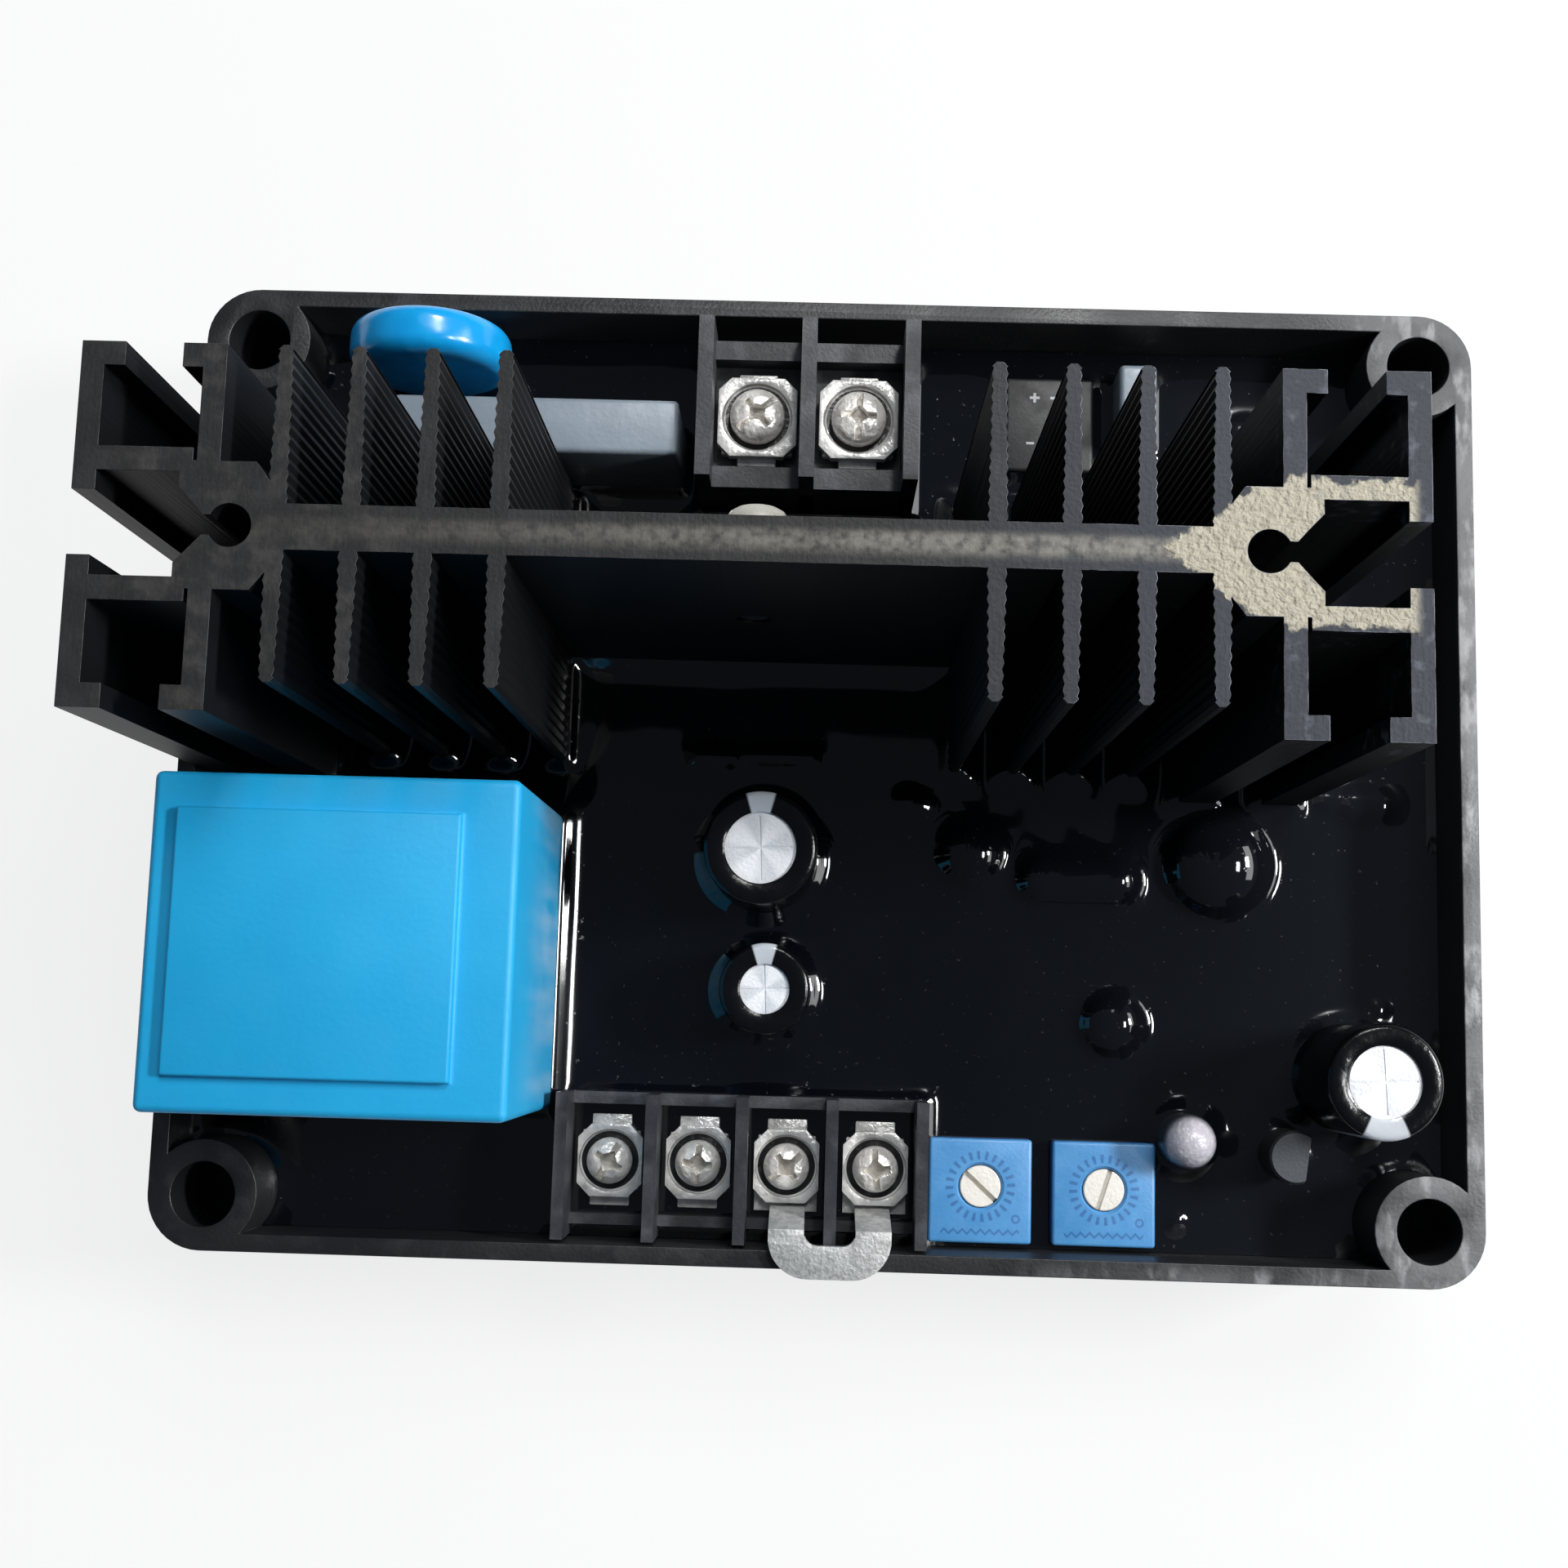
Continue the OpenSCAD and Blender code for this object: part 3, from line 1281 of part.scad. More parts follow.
module left_trimmer() { trimmer(left_trimmer_pos); }
module right_trimmer() { trimmer(right_trimmer_pos); }
module left_trimmer_rotor() { rotor(left_trimmer_pos, left_slot_turn); }
module right_trimmer_rotor() { rotor(right_trimmer_pos, right_slot_turn); }

tray();
circuit_board();
potting();
heat_sink();
heat_sink_screws();
thyristor();
thyristor_pad();
thyristor_screw();
transformer();
filter_capacitor_can();
filter_capacitor_sleeve();
timing_capacitor_can();
timing_capacitor_sleeve();
supply_capacitor_can();
supply_capacitor_sleeve();
film_capacitor();
small_film_capacitor();
varistor();
bridge_rectifier();
small_transistor();
indicator_lamp();
choke();
bead_capacitor_left();
bead_capacitor_right();
load_resistor();
diode();
front_terminal_block();
rear_terminal_block();
front_contact_1();
front_contact_2();
front_contact_3();
front_contact_4();
front_washer_1();
front_washer_2();
front_washer_3();
front_washer_4();
front_screw_1();
front_screw_2();
front_screw_3();
front_screw_4();
rear_contact_1();
rear_contact_2();
rear_washer_1();
rear_washer_2();
rear_screw_1();
rear_screw_2();
terminal_link();
left_trimmer();
right_trimmer();
left_trimmer_rotor();
right_trimmer_rotor();
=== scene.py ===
# %% [markdown]
# # Automatic voltage regulator
# The real object is a small control board in an open black tray. Resin covers the board, and the taller
# parts stand out of it: a heat sink, a transformer, capacitors, two terminal strips and two trimmers.
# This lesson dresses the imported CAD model. Lengths are written in millimetres and turned into metres.

# %% Load the frame
import math

import bpy
import numpy as np
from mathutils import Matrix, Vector


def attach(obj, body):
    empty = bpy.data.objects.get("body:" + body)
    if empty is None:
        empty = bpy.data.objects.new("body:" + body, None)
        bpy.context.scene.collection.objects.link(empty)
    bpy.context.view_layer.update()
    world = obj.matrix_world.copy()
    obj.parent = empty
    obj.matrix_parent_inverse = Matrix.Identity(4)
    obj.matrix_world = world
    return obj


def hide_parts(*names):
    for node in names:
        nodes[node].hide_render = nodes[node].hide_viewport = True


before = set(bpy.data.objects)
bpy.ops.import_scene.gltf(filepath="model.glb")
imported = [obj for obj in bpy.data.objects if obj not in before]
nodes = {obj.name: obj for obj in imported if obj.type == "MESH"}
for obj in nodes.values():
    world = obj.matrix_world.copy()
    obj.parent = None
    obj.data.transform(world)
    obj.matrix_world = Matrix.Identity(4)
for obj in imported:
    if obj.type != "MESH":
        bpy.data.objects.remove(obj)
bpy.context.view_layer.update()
print("CAD nodes:", len(nodes))

# %% [markdown]
# ## Camera, floor and light
# The photograph looks almost straight down on the object. The camera below comes from a fit to the
# tray's corners, its holes and the upright edges. It is set first.

# %% Camera
MM = 0.001
camera_data = bpy.data.cameras.new("photo_camera")
camera_data.sensor_width = 36
camera_data.lens = 43.06
camera = bpy.data.objects.new("photo_camera", camera_data)
bpy.context.collection.objects.link(camera)
camera.location = (-0.87 * MM, -23.06 * MM, 191.54 * MM)
camera.rotation_mode = "ZYX"
camera.rotation_euler = [math.radians(a) for a in (7.215, 0.944, 1.57)]
bpy.context.scene.camera = camera
bpy.context.scene.view_settings.view_transform = "Standard"
print("camera height", round(camera.location.z, 4), "m")

# %% [markdown]
# The floor is plain and white. Light Path shows it to the camera and to mirrors mostly as white light
# and partly as an ordinary pale floor, so it is as bright as the photograph's and still keeps a soft
# shadow. Under the tray it stays an ordinary floor, so that the mounting holes look dark. A dim even
# sky and two soft lamps light the object. The key lamp is at the right, where the photograph's
# highlights and shadows point, and a wide lamp fills in from behind. Three cards show in glossy faces
# alone, as the glints on the resin. Their mirror images in the flat resin fall outside the tray.

# %% Floor, sky and lamps
def only(obj):
    """Leaves edit mode and selects this object alone, or nothing."""
    if bpy.context.object and bpy.context.object.mode != "OBJECT":
        bpy.ops.object.mode_set(mode="OBJECT")
    bpy.ops.object.select_all(action="DESELECT")
    if obj:
        obj.select_set(True)
        bpy.context.view_layer.objects.active = obj


def finish(name, colour, roughness, metallic=0.0, specular=0.5):
    """A new material with plain values on its shader."""
    material = bpy.data.materials.new(name)
    material.use_nodes = True
    shader = material.node_tree.nodes["Principled BSDF"]
    shader.inputs["Base Color"].default_value = (*colour, 1)
    shader.inputs["Roughness"].default_value = roughness
    shader.inputs["Metallic"].default_value = metallic
    shader.inputs["Specular IOR Level"].default_value = specular
    return material


def add_node(material, kind, **settings):
    """A new node with its settings."""
    made = material.node_tree.nodes.new(kind)
    for key, value in settings.items():
        setattr(made, key, value)
    return made


def calc(material, operation, *terms):
    """A sum with up to three terms, each a number or the output of a node."""
    step = add_node(material, "ShaderNodeMath", operation=operation)
    for socket, term in zip(step.inputs, terms):
        if isinstance(term, (int, float)):
            socket.default_value = term
        else:
            material.node_tree.links.new(term, socket)
    return step.outputs[0]


def place(material):
    """Object coordinates, in metres."""
    return add_node(material, "ShaderNodeTexCoord").outputs["Object"]


def mapped(material, scale, location=(0, 0, 0)):
    """Object coordinates that are scaled and then moved."""
    mapping = add_node(material, "ShaderNodeMapping")
    mapping.inputs["Scale"].default_value = scale
    mapping.inputs["Location"].default_value = location
    material.node_tree.links.new(place(material), mapping.inputs["Vector"])
    return mapping.outputs["Vector"]


def parts_of(material, vector):
    """The X, Y and Z of a vector."""
    split = add_node(material, "ShaderNodeSeparateXYZ")
    material.node_tree.links.new(vector, split.inputs[0])
    return split.outputs


def white_for_camera(material, half_x, half_y, share):
    """Shows a share of white to the camera, mirrors and glass, but not within a rectangle."""
    tree = material.node_tree
    where = parts_of(material, mapped(material, (1 / half_x, 1 / half_y, 0)))
    sides = [calc(material, "ABSOLUTE", where[axis]) for axis in "XY"]
    outside = calc(material, "GREATER_THAN", calc(material, "MAXIMUM", *sides), 1)
    path = add_node(material, "ShaderNodeLightPath").outputs
    seen = calc(material, "MAXIMUM", path["Is Camera Ray"], path["Is Transmission Ray"])
    seen = calc(material, "MAXIMUM", seen, path["Is Glossy Ray"])
    shown = calc(material, "MULTIPLY", seen, outside)
    white = add_node(material, "ShaderNodeEmission")
    mix = add_node(material, "ShaderNodeMixShader")
    tree.links.new(calc(material, "MULTIPLY", shown, share), mix.inputs[0])
    tree.links.new(tree.nodes["Principled BSDF"].outputs[0], mix.inputs[1])
    tree.links.new(white.outputs[0], mix.inputs[2])
    tree.links.new(mix.outputs[0], tree.nodes["Material Output"].inputs["Surface"])


only(None)
bpy.ops.mesh.primitive_plane_add(size=3, location=(0, 0, -0.0003))
floor = bpy.context.object
floor.name = "floor"
floor_paint = finish("floor_white", (0.82, 0.82, 0.82), 0.9)
white_for_camera(floor_paint, 58.2 * MM, 43.2 * MM, 0.82)
floor.data.materials.append(floor_paint)

world = bpy.data.worlds.new("pale_sky")
bpy.context.scene.world = world
world.use_nodes = True
sky = world.node_tree.nodes["Background"]
sky.inputs["Color"].default_value = (0.7, 0.82, 1.0, 1)
sky.inputs["Strength"].default_value = 0.12


def soft_lamp(name, spot, size, power):
    """A lamp with a face of that size, which points at the middle of the object."""
    lamp = bpy.data.lights.new(name, "AREA")
    lamp.shape = "RECTANGLE"
    lamp.size, lamp.size_y = size
    lamp.energy = power
    holder = bpy.data.objects.new(name, lamp)
    bpy.context.collection.objects.link(holder)
    holder.location = spot
    holder.rotation_euler = (-Vector(spot)).to_track_quat("-Z", "Y").to_euler()
    return holder


soft_lamp("key_lamp", (0.445, 0.0625, 0.36), (0.12, 0.06), 3.0)
fill = soft_lamp("rear_fill", (0.12, 0.32, 0.52), (0.35, 0.25), 2.1)
fill.visible_glossy = False
for card in (
    soft_lamp("rear_glint", (0.12, 0.32, 0.52), (0.07, 0.05), 2.1),
    soft_lamp("right_glint", (0.36, 0.0, 0.5), (0.12, 0.05), 1.0),
    soft_lamp("highlight_card", (0.45, 0.05, 0.3), (0.4, 0.12), 0.8),
):
    card.visible_diffuse = False

# %% [markdown]
# ## Finishes
# Each finish starts from one shader with its plain values. Small helpers then lay a second colour,
# another roughness or a bump over it through a mask. The masks read Object coordinates, so a pattern
# has its real size and stays on its piece.

# %% Helpers for finishes
def ramp(material, value, low, high):
    """A mask that rises from 0 at low to 1 at high."""
    rise = add_node(material, "ShaderNodeMapRange", interpolation_type="SMOOTHSTEP")
    material.node_tree.links.new(value, rise.inputs["Value"])
    rise.inputs["From Min"].default_value = low
    rise.inputs["From Max"].default_value = high
    return rise.outputs["Result"]


def cloud(material, size, low, high, detail=4.0, stretch=(1, 1, 1)):
    """A mask of soft patches of about that size, in millimetres."""
    noise = add_node(material, "ShaderNodeTexNoise")
    noise.inputs["Scale"].default_value = 1
    noise.inputs["Detail"].default_value = detail
    fine = mapped(material, [1 / (size * MM * s) for s in stretch])
    material.node_tree.links.new(fine, noise.inputs["Vector"])
    return ramp(material, noise.outputs["Fac"], low, high)


def along(material, axis, low, high):
    """A mask that rises along X, Y or Z between two places in millimetres."""
    return ramp(material, parts_of(material, place(material))[axis], low * MM, high * MM)


def facing(material, axis, low=0.5, high=0.9):
    """A mask of the faces that look along +X, +Y or +Z."""
    geometry = add_node(material, "ShaderNodeNewGeometry")
    return ramp(material, parts_of(material, geometry.outputs["Normal"])[axis], low, high)


def both(material, *masks, operation="MULTIPLY"):
    """Masks multiplied, or joined by another sum."""
    total = masks[0]
    for mask in masks[1:]:
        total = calc(material, operation, total, mask)
    return total


def part_of(material, mask, share):
    """A mask made weaker."""
    return calc(material, "MULTIPLY", mask, share)


def lay(material, socket, mask, value):
    """Lays a colour or a value over a socket of the shader, through a mask."""
    tree = material.node_tree
    target = tree.nodes["Principled BSDF"].inputs[socket]
    is_colour = target.type == "RGBA"
    mix = add_node(material, "ShaderNodeMix", data_type="RGBA" if is_colour else "FLOAT")
    below, above, result = (6, 7, 2) if is_colour else (2, 3, 0)
    mix.inputs[below].default_value = target.default_value
    if target.is_linked:
        tree.links.new(target.links[0].from_socket, mix.inputs[below])
    mix.inputs[above].default_value = (*value, 1) if is_colour else value
    tree.links.new(mask, mix.inputs[0])
    tree.links.new(mix.outputs[result], target)


def tint(material, mask, colour, share=1.0):
    """Lays a colour over the base colour, through a mask or a share of it."""
    if share < 1:
        mask = part_of(material, mask, share)
    lay(material, "Base Color", mask, colour)


def bump(material, height, depth, strength=1.0):
    """Raises the surface where the mask is high, by a depth in millimetres."""
    tree = material.node_tree
    target = tree.nodes["Principled BSDF"].inputs["Normal"]
    relief = add_node(material, "ShaderNodeBump")
    relief.inputs["Distance"].default_value = depth * MM
    relief.inputs["Strength"].default_value = strength
    tree.links.new(height, relief.inputs["Height"])
    if target.is_linked:
        tree.links.new(target.links[0].from_socket, relief.inputs["Normal"])
    tree.links.new(relief.outputs["Normal"], target)


def grain(material, size, depth, detail=4.0):
    """A fine relief with grains of about that size, both in millimetres."""
    bump(material, cloud(material, size, 0.3, 0.7, detail), depth)


def second_tone(material, size, share, colour, low=0.4, high=0.7, detail=4.0):
    """Soft patches of another colour."""
    tint(material, cloud(material, size, low, high, detail), colour, share)


def dull(material, size, roughness, low=0.4, high=0.7, detail=4.0):
    """Soft patches of another roughness."""
    lay(material, "Roughness", cloud(material, size, low, high, detail), roughness)


print("finish helpers ready")

# %% [markdown]
# ## Tools for shaping
# Every piece starts from a primitive that is put at its size and place, and is then shaped in edit
# mode. A flat outline starts as a circle with as many points as the outline has, and its points are
# moved.

# %% Helpers for shapes
def settle(obj):
    """Puts the object's place, turn and scale into its mesh."""
    only(obj)
    bpy.ops.object.transform_apply(location=True, rotation=True, scale=True)
    return obj


def box(name, low, high):
    """A block between two corners, in millimetres."""
    only(None)
    middle = [(a + b) / 2 * MM for a, b in zip(low, high)]
    bpy.ops.mesh.primitive_cube_add(size=1, location=middle)
    obj = bpy.context.object
    obj.name = name
    obj.scale = [(b - a) * MM for a, b in zip(low, high)]
    return settle(obj)


def prism(name, outline, z0, z1):
    """A flat outline in X and Y, drawn up from z0 to z1."""
    only(None)
    bpy.ops.mesh.primitive_circle_add(vertices=len(outline), radius=1, fill_type="NGON")
    obj = bpy.context.object
    obj.name = name
    for vertex, (x, y) in zip(obj.data.vertices, outline):
        vertex.co = (x * MM, y * MM, z0 * MM)
    bpy.ops.object.mode_set(mode="EDIT")
    bpy.ops.mesh.select_all(action="SELECT")
    bpy.ops.mesh.extrude_region_move(TRANSFORM_OT_translate={"value": (0, 0, (z1 - z0) * MM)})
    outward()
    return obj


def outward():
    """Turns all normals of the mesh in edit mode outwards, and leaves edit mode."""
    bpy.ops.mesh.select_all(action="SELECT")
    bpy.ops.mesh.normals_make_consistent(inside=False)
    bpy.ops.object.mode_set(mode="OBJECT")


def turned(name, profile, at, steps=64):
    """A round piece: a profile of (radius, height) points spun about an upright axis."""
    only(None)
    bpy.ops.mesh.primitive_circle_add(vertices=len(profile), radius=1)
    obj = bpy.context.object
    obj.name = name
    for vertex, (r, z) in zip(obj.data.vertices, profile):
        vertex.co = ((at[0] + r) * MM, at[1] * MM, (at[2] + z) * MM)
    bpy.ops.object.mode_set(mode="EDIT")
    bpy.ops.mesh.select_all(action="SELECT")
    centre = [v * MM for v in at]
    bpy.ops.mesh.spin(steps=steps, angle=2 * math.pi, center=centre, axis=(0, 0, 1))
    bpy.ops.mesh.select_all(action="SELECT")
    bpy.ops.mesh.remove_doubles(threshold=1e-6)
    bpy.ops.mesh.dissolve_degenerate(threshold=1e-6)
    bpy.ops.mesh.delete_loose()
    outward()
    return obj


def use(obj, kind, **settings):
    """Adds a modifier with its settings and applies it."""
    only(obj)
    modifier = obj.modifiers.new(kind.lower(), kind)
    for key, value in settings.items():
        setattr(modifier, key, value)
    bpy.ops.object.modifier_apply(modifier=modifier.name)
    return obj


def combine(obj, other, operation):
    """Cuts the other piece away, or melts it in, and removes it."""
    use(obj, "BOOLEAN", object=other, operation=operation, solver="EXACT")
    bpy.data.objects.remove(other)
    return obj


def soften(obj, width, segments=2, angle=35):
    """Rounds the sharp edges and shades the piece smoothly."""
    use(obj, "BEVEL", width=width * MM, segments=segments, limit_method="ANGLE",
        angle_limit=math.radians(angle), use_clamp_overlap=True)
    return smooth(obj)


def smooth(obj, angle=40):
    """Smooth shading, with creases where faces meet at more than the angle."""
    only(obj)
    bpy.ops.object.shade_smooth_by_angle(angle=math.radians(angle))
    return obj


def copy_of(obj, name, offset=(0, 0, 0)):
    """A copy with its own mesh, moved by an offset in millimetres."""
    only(obj)
    bpy.ops.object.duplicate()
    twin = bpy.context.object
    twin.name = name
    twin.location = [v * MM for v in offset]
    return settle(twin)


def turn_about(obj, at, angle, axis="Z"):
    """Turns a piece about an axis through a point, in millimetres and degrees."""
    only(obj)
    middle = Vector([v * MM for v in at])
    obj.rotation_euler = [math.radians(angle) if name == axis else 0 for name in "XYZ"]
    obj.location = middle - obj.rotation_euler.to_matrix() @ middle
    return settle(obj)


def done(obj, material, body, slot, *replaced):
    """Paints a piece and puts it on its body in place of its CAD nodes."""
    obj.data.materials.clear()
    obj.data.materials.append(material)
    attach(obj, body)
    if replaced:
        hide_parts(*replaced)
    print(obj.name, len(obj.data.polygons), "faces")


def arc(cx, cy, r, start, end, steps):
    """Points on an arc, from one angle to another, in degrees."""
    angles = np.radians(np.linspace(start, end, steps + 1))
    return [(cx + r * math.cos(a), cy + r * math.sin(a)) for a in angles]


def circle(cx, cy, r, points=24):
    """Points around a full circle."""
    return arc(cx, cy, r, 0, 360 - 360 / points, points - 1)


def rounded(cx, cy, w, d, r, steps=6):
    """A rectangle with round corners."""
    corners = ((1, 1, 0), (-1, 1, 90), (-1, -1, 180), (1, -1, 270))
    points = []
    for sx, sy, start in corners:
        points += arc(cx + sx * (w / 2 - r), cy + sy * (d / 2 - r), r, start, start + 90, steps)
    return points


ROOT = "regulator"
print("shape helpers ready")

# %% [markdown]
# ## Tray
# The tray is one moulding: a floor, four walls and a boss with a through hole in each corner. The outer
# block is drawn up from its outline, the hollow is cut with an outline that curves around the bosses,
# and then the edges are rounded as a mould leaves them.

# %% Tray
TRAY_W, TRAY_D, TRAY_H, WALL, FLOOR_T = 120, 90, 20, 1.6, 2.2
IN_X, IN_Y = TRAY_W / 2 - WALL, TRAY_D / 2 - WALL
HOLE_X, HOLE_Y, HOLE_R, BOSS_R = 55, 40, 2.9, 4.9
HOLES = [(sx * HOLE_X, sy * HOLE_Y) for sx in (-1, 1) for sy in (-1, 1)]


def hollow_outline(gap):
    """The tray's hollow, which leaves the corner bosses standing."""
    r = BOSS_R + gap
    x, y = IN_X - gap, IN_Y - gap
    lean = math.degrees(math.acos((x - HOLE_X) / r))
    points = []
    for sx, sy, start in ((1, 1, 0), (-1, 1, 90), (-1, -1, 180), (1, -1, 270)):
        curve = arc(0, 0, r, -lean, lean - 270, 18)
        cosine, sine = math.cos(math.radians(start)), math.sin(math.radians(start))
        for px, py in curve:
            points.append((sx * HOLE_X + px * cosine - py * sine, sy * HOLE_Y + px * sine + py * cosine))
    return points


tray = prism("tray_shell", rounded(0, 0, TRAY_W, TRAY_D, 5, 10), 0, TRAY_H)
combine(tray, prism("hollow", hollow_outline(0), FLOOR_T, TRAY_H + 1), "DIFFERENCE")
for x, y in HOLES:
    combine(tray, prism("hole", circle(x, y, HOLE_R, 48), -1, TRAY_H + 1), "DIFFERENCE")
soften(tray, 0.3, 3)
print("tray", [round(v, 4) for v in tray.dimensions])

# %% [markdown]
# The plastic is black with a fine satin grain. The photograph shows the rim rubbed to a pale grey along
# the right side and at the front right corner, with small chips, so that wear is laid on the rim there.

# %% Tray plastic
tray_plastic = finish("tray_plastic", (0.011, 0.0115, 0.013), 0.4)
grain(tray_plastic, 0.35, 0.011)
dull(tray_plastic, 9, 0.52, low=0.35, high=0.65)
second_tone(tray_plastic, 14, 0.6, (0.018, 0.0185, 0.02))
on_rim = both(tray_plastic, facing(tray_plastic, "Z", 0.1, 0.8), along(tray_plastic, "Z", 19, 19.6))
right_side = along(tray_plastic, "X", 45, 55)
front_edge = ramp(tray_plastic, along(tray_plastic, "Y", -45.6, -42.6), 1, 0)
front_right = both(tray_plastic, along(tray_plastic, "X", 14, 40), front_edge)
rubbed = both(tray_plastic, right_side, front_right, operation="MAXIMUM")
soft_wear = both(tray_plastic, on_rim, rubbed, cloud(tray_plastic, 6, 0.2, 0.75, 5))
tint(tray_plastic, soft_wear, (0.17, 0.17, 0.178), 0.9)
scuffs = both(tray_plastic, on_rim, rubbed, cloud(tray_plastic, 1.6, 0.5, 0.66, 6, (1, 2.5, 1)))
tint(tray_plastic, scuffs, (0.38, 0.38, 0.39), 0.6)
lay(tray_plastic, "Roughness", soft_wear, 0.62)
edge_wear = both(tray_plastic, on_rim, cloud(tray_plastic, 2.5, 0.45, 0.75, 5))
tint(tray_plastic, edge_wear, (0.06, 0.06, 0.063), 0.35)
done(tray, tray_plastic, ROOT, "tray_plastic", "tray")

# %% [markdown]
# ## Resin
# The resin was poured black and set to a gloss. It creeps up each wall and each part that stands in it,
# most of all up the transformer, and it stands in domes over the small parts that it just covers. A
# fine grid is laid over the hollow, each point gets its height, and the sheet is drawn down into a
# closed body.

# %% Footprints that the resin meets
# Heights of the board's top, the resin's underside and the resin's surface
DECK, POT_BASE, POT_Z = 9.3, 9.4, 12.5
SINK_X, SINK_Y = -6.5, 13.1
FRONT_X, FRONT_Y = -6.65, -36.55
REAR_X, REAR_Y = -2.45, 33.65
BRIDGE_X, BRIDGE_Y = 21.05, 35.5
LAMP_X, LAMP_Y = 34.26, -32.9
TRANSISTOR_X, TRANSISTOR_Y = 43.5, -33.9
VARISTOR = (-38.6, 39.3, 19.5)
TRIMMERS = {"left": (15.465, -38.085), "right": (26.895, -38.085)}
# For each capacitor x, y, diameter and height
CAPS = {
    "filter": (-5.55, -7.8, 10.2, 16),
    "timing": (-4.9, -20.2, 8.3, 12),
    "supply": (49.6, -26.8, 10.2, 16),
}
# Straight footprints as x, y, width and depth
HOOKS = ((47, 5.05, 9, 1.9), (50.7, 8.4, 1.8, 11.8), (43, 13.3, 1.8, 1.9), (49, 13.3, 1.8, 1.9))
TRANSFORMER = (-39.9, -17.95, 30.2, 27.7)
blocks = [
    (FRONT_X, FRONT_Y, 33.9, 13.1), (REAR_X, REAR_Y, 20.4, 15.1),
    (-27.65, 31.0, 26.5, 5.2), (29.15, 37.0, 3.6, 7.2), (BRIDGE_X, BRIDGE_Y, 8.6, 9.4),
    (VARISTOR[0], VARISTOR[1], 5, 3),
    (SINK_X, SINK_Y, 70, 3.6),
]
for side in (-1, 1):
    for k in range(4):
        fin_x = SINK_X + side * (18.9 + 5.65 * k)
        blocks += [(fin_x, SINK_Y + 7, 1.5, 14.5), (fin_x, SINK_Y - 6, 1.5, 12.2)]
    blocks += [(SINK_X + side * 39.4, SINK_Y, 8.6, 10), (SINK_X + side * 41.3, SINK_Y, 1.8, 28.6)]
    for way in (-1, 1):
        blocks += [(SINK_X + side * x, SINK_Y + way * y, w, d) for x, y, w, d in HOOKS]
rounds = [(x, y, d / 2) for x, y, d, _ in CAPS.values()]
rounds += [(LAMP_X, LAMP_Y, 2.9), (TRANSISTOR_X, TRANSISTOR_Y, 1.2)]
# Domes as x, y, half of the straight length, radius and height
domes = [
    (37.6, -7.1, 0, 5.0, 3.0), (14.05, -6.6, 0, 3.0, 1.7), (27.75, -22.5, 0, 3.0, 1.8),
    (24.45, -8.9, 3.4, 2.4, 1.7), (51.9, -0.9, 1.2, 1.7, 0.9), (48.4, -0.6, 0.4, 1.2, 0.6),
    (-10.6, 2.0, 1.4, 1.1, 0.45), (-4.0, 2.2, 2.6, 0.9, 0.35), (8.4, -2.0, 0.5, 1.3, 0.5),
    (40.8, 35.4, 0.8, 1.8, 0.5), (33.8, -40.4, 0, 0.9, 0.4), (52.8, -20.4, 0, 1.0, 0.4),
]
print(len(blocks), "straight footprints,", len(rounds), "round ones,", len(domes), "domes")

# %% Resin sheet
only(None)
GRID_X, GRID_Y = 326, 242
bpy.ops.mesh.primitive_grid_add(x_subdivisions=GRID_X, y_subdivisions=GRID_Y, size=1, location=(0, 0, 0))
resin = bpy.context.object
resin.name = "resin"
resin.scale = (2 * (IN_X - 0.05) * MM, 2 * (IN_Y - 0.05) * MM, 1)
settle(resin)
points = np.empty(len(resin.data.vertices) * 3)
resin.data.vertices.foreach_get("co", points)
points = points.reshape(-1, 3)
gx, gy = points[:, 0] / MM, points[:, 1] / MM


def creep(distance, rise, reach=0.8):
    """How far resin creeps up a wall at that distance from it."""
    return rise * np.exp(-np.maximum(distance, 0) / reach)


def gap_to(x, y, w, d):
    """The distance from each point of the grid to a straight footprint."""
    return np.hypot(np.maximum(np.abs(gx - x) - w / 2, 0), np.maximum(np.abs(gy - y) - d / 2, 0))


height = creep(IN_X - np.abs(gx), 0.7)
height = np.maximum(height, creep(IN_Y - np.abs(gy), 0.12))
height = np.maximum(height, creep(np.hypot(np.abs(gx) - HOLE_X, np.abs(gy) - HOLE_Y) - BOSS_R, 0.7))
height = np.maximum(height, creep(gap_to(*TRANSFORMER), 1.85, 2.3))
for block in blocks:
    height = np.maximum(height, creep(gap_to(*block), 0.85))
for x, y, r in rounds:
    height = np.maximum(height, creep(np.hypot(gx - x, gy - y) - r, 1.0))
for x, y, half, r, h in domes:
    away = np.hypot(np.maximum(np.abs(gx - x) - half, 0), gy - y) / r
    cap = h * np.sqrt(np.maximum(1 - away ** 2, 0))
    foot = 0.45 * h * np.exp(-np.maximum(away - 0.9, 0) * r / 0.55)
    height = np.maximum(height, np.maximum(cap, foot))
height = height.reshape(GRID_Y + 1, GRID_X + 1)
height = np.pad(height, 1, mode="edge")
height = (height[:-2] + 2 * height[1:-1] + height[2:]) / 4
height = (height[:, :-2] + 2 * height[:, 1:-1] + height[:, 2:]) / 4
height = height.ravel()
height += 0.03 * np.sin(gx / 7.1 + 1.3) * np.cos(gy / 5.7) + 0.02 * np.sin((gx + gy) / 3.9)
points[:, 2] = (POT_Z + height) * MM
resin.data.vertices.foreach_set("co", points.ravel())
resin.data.update()
print("resin rises", round(float(height.max()), 2), "mm at most")

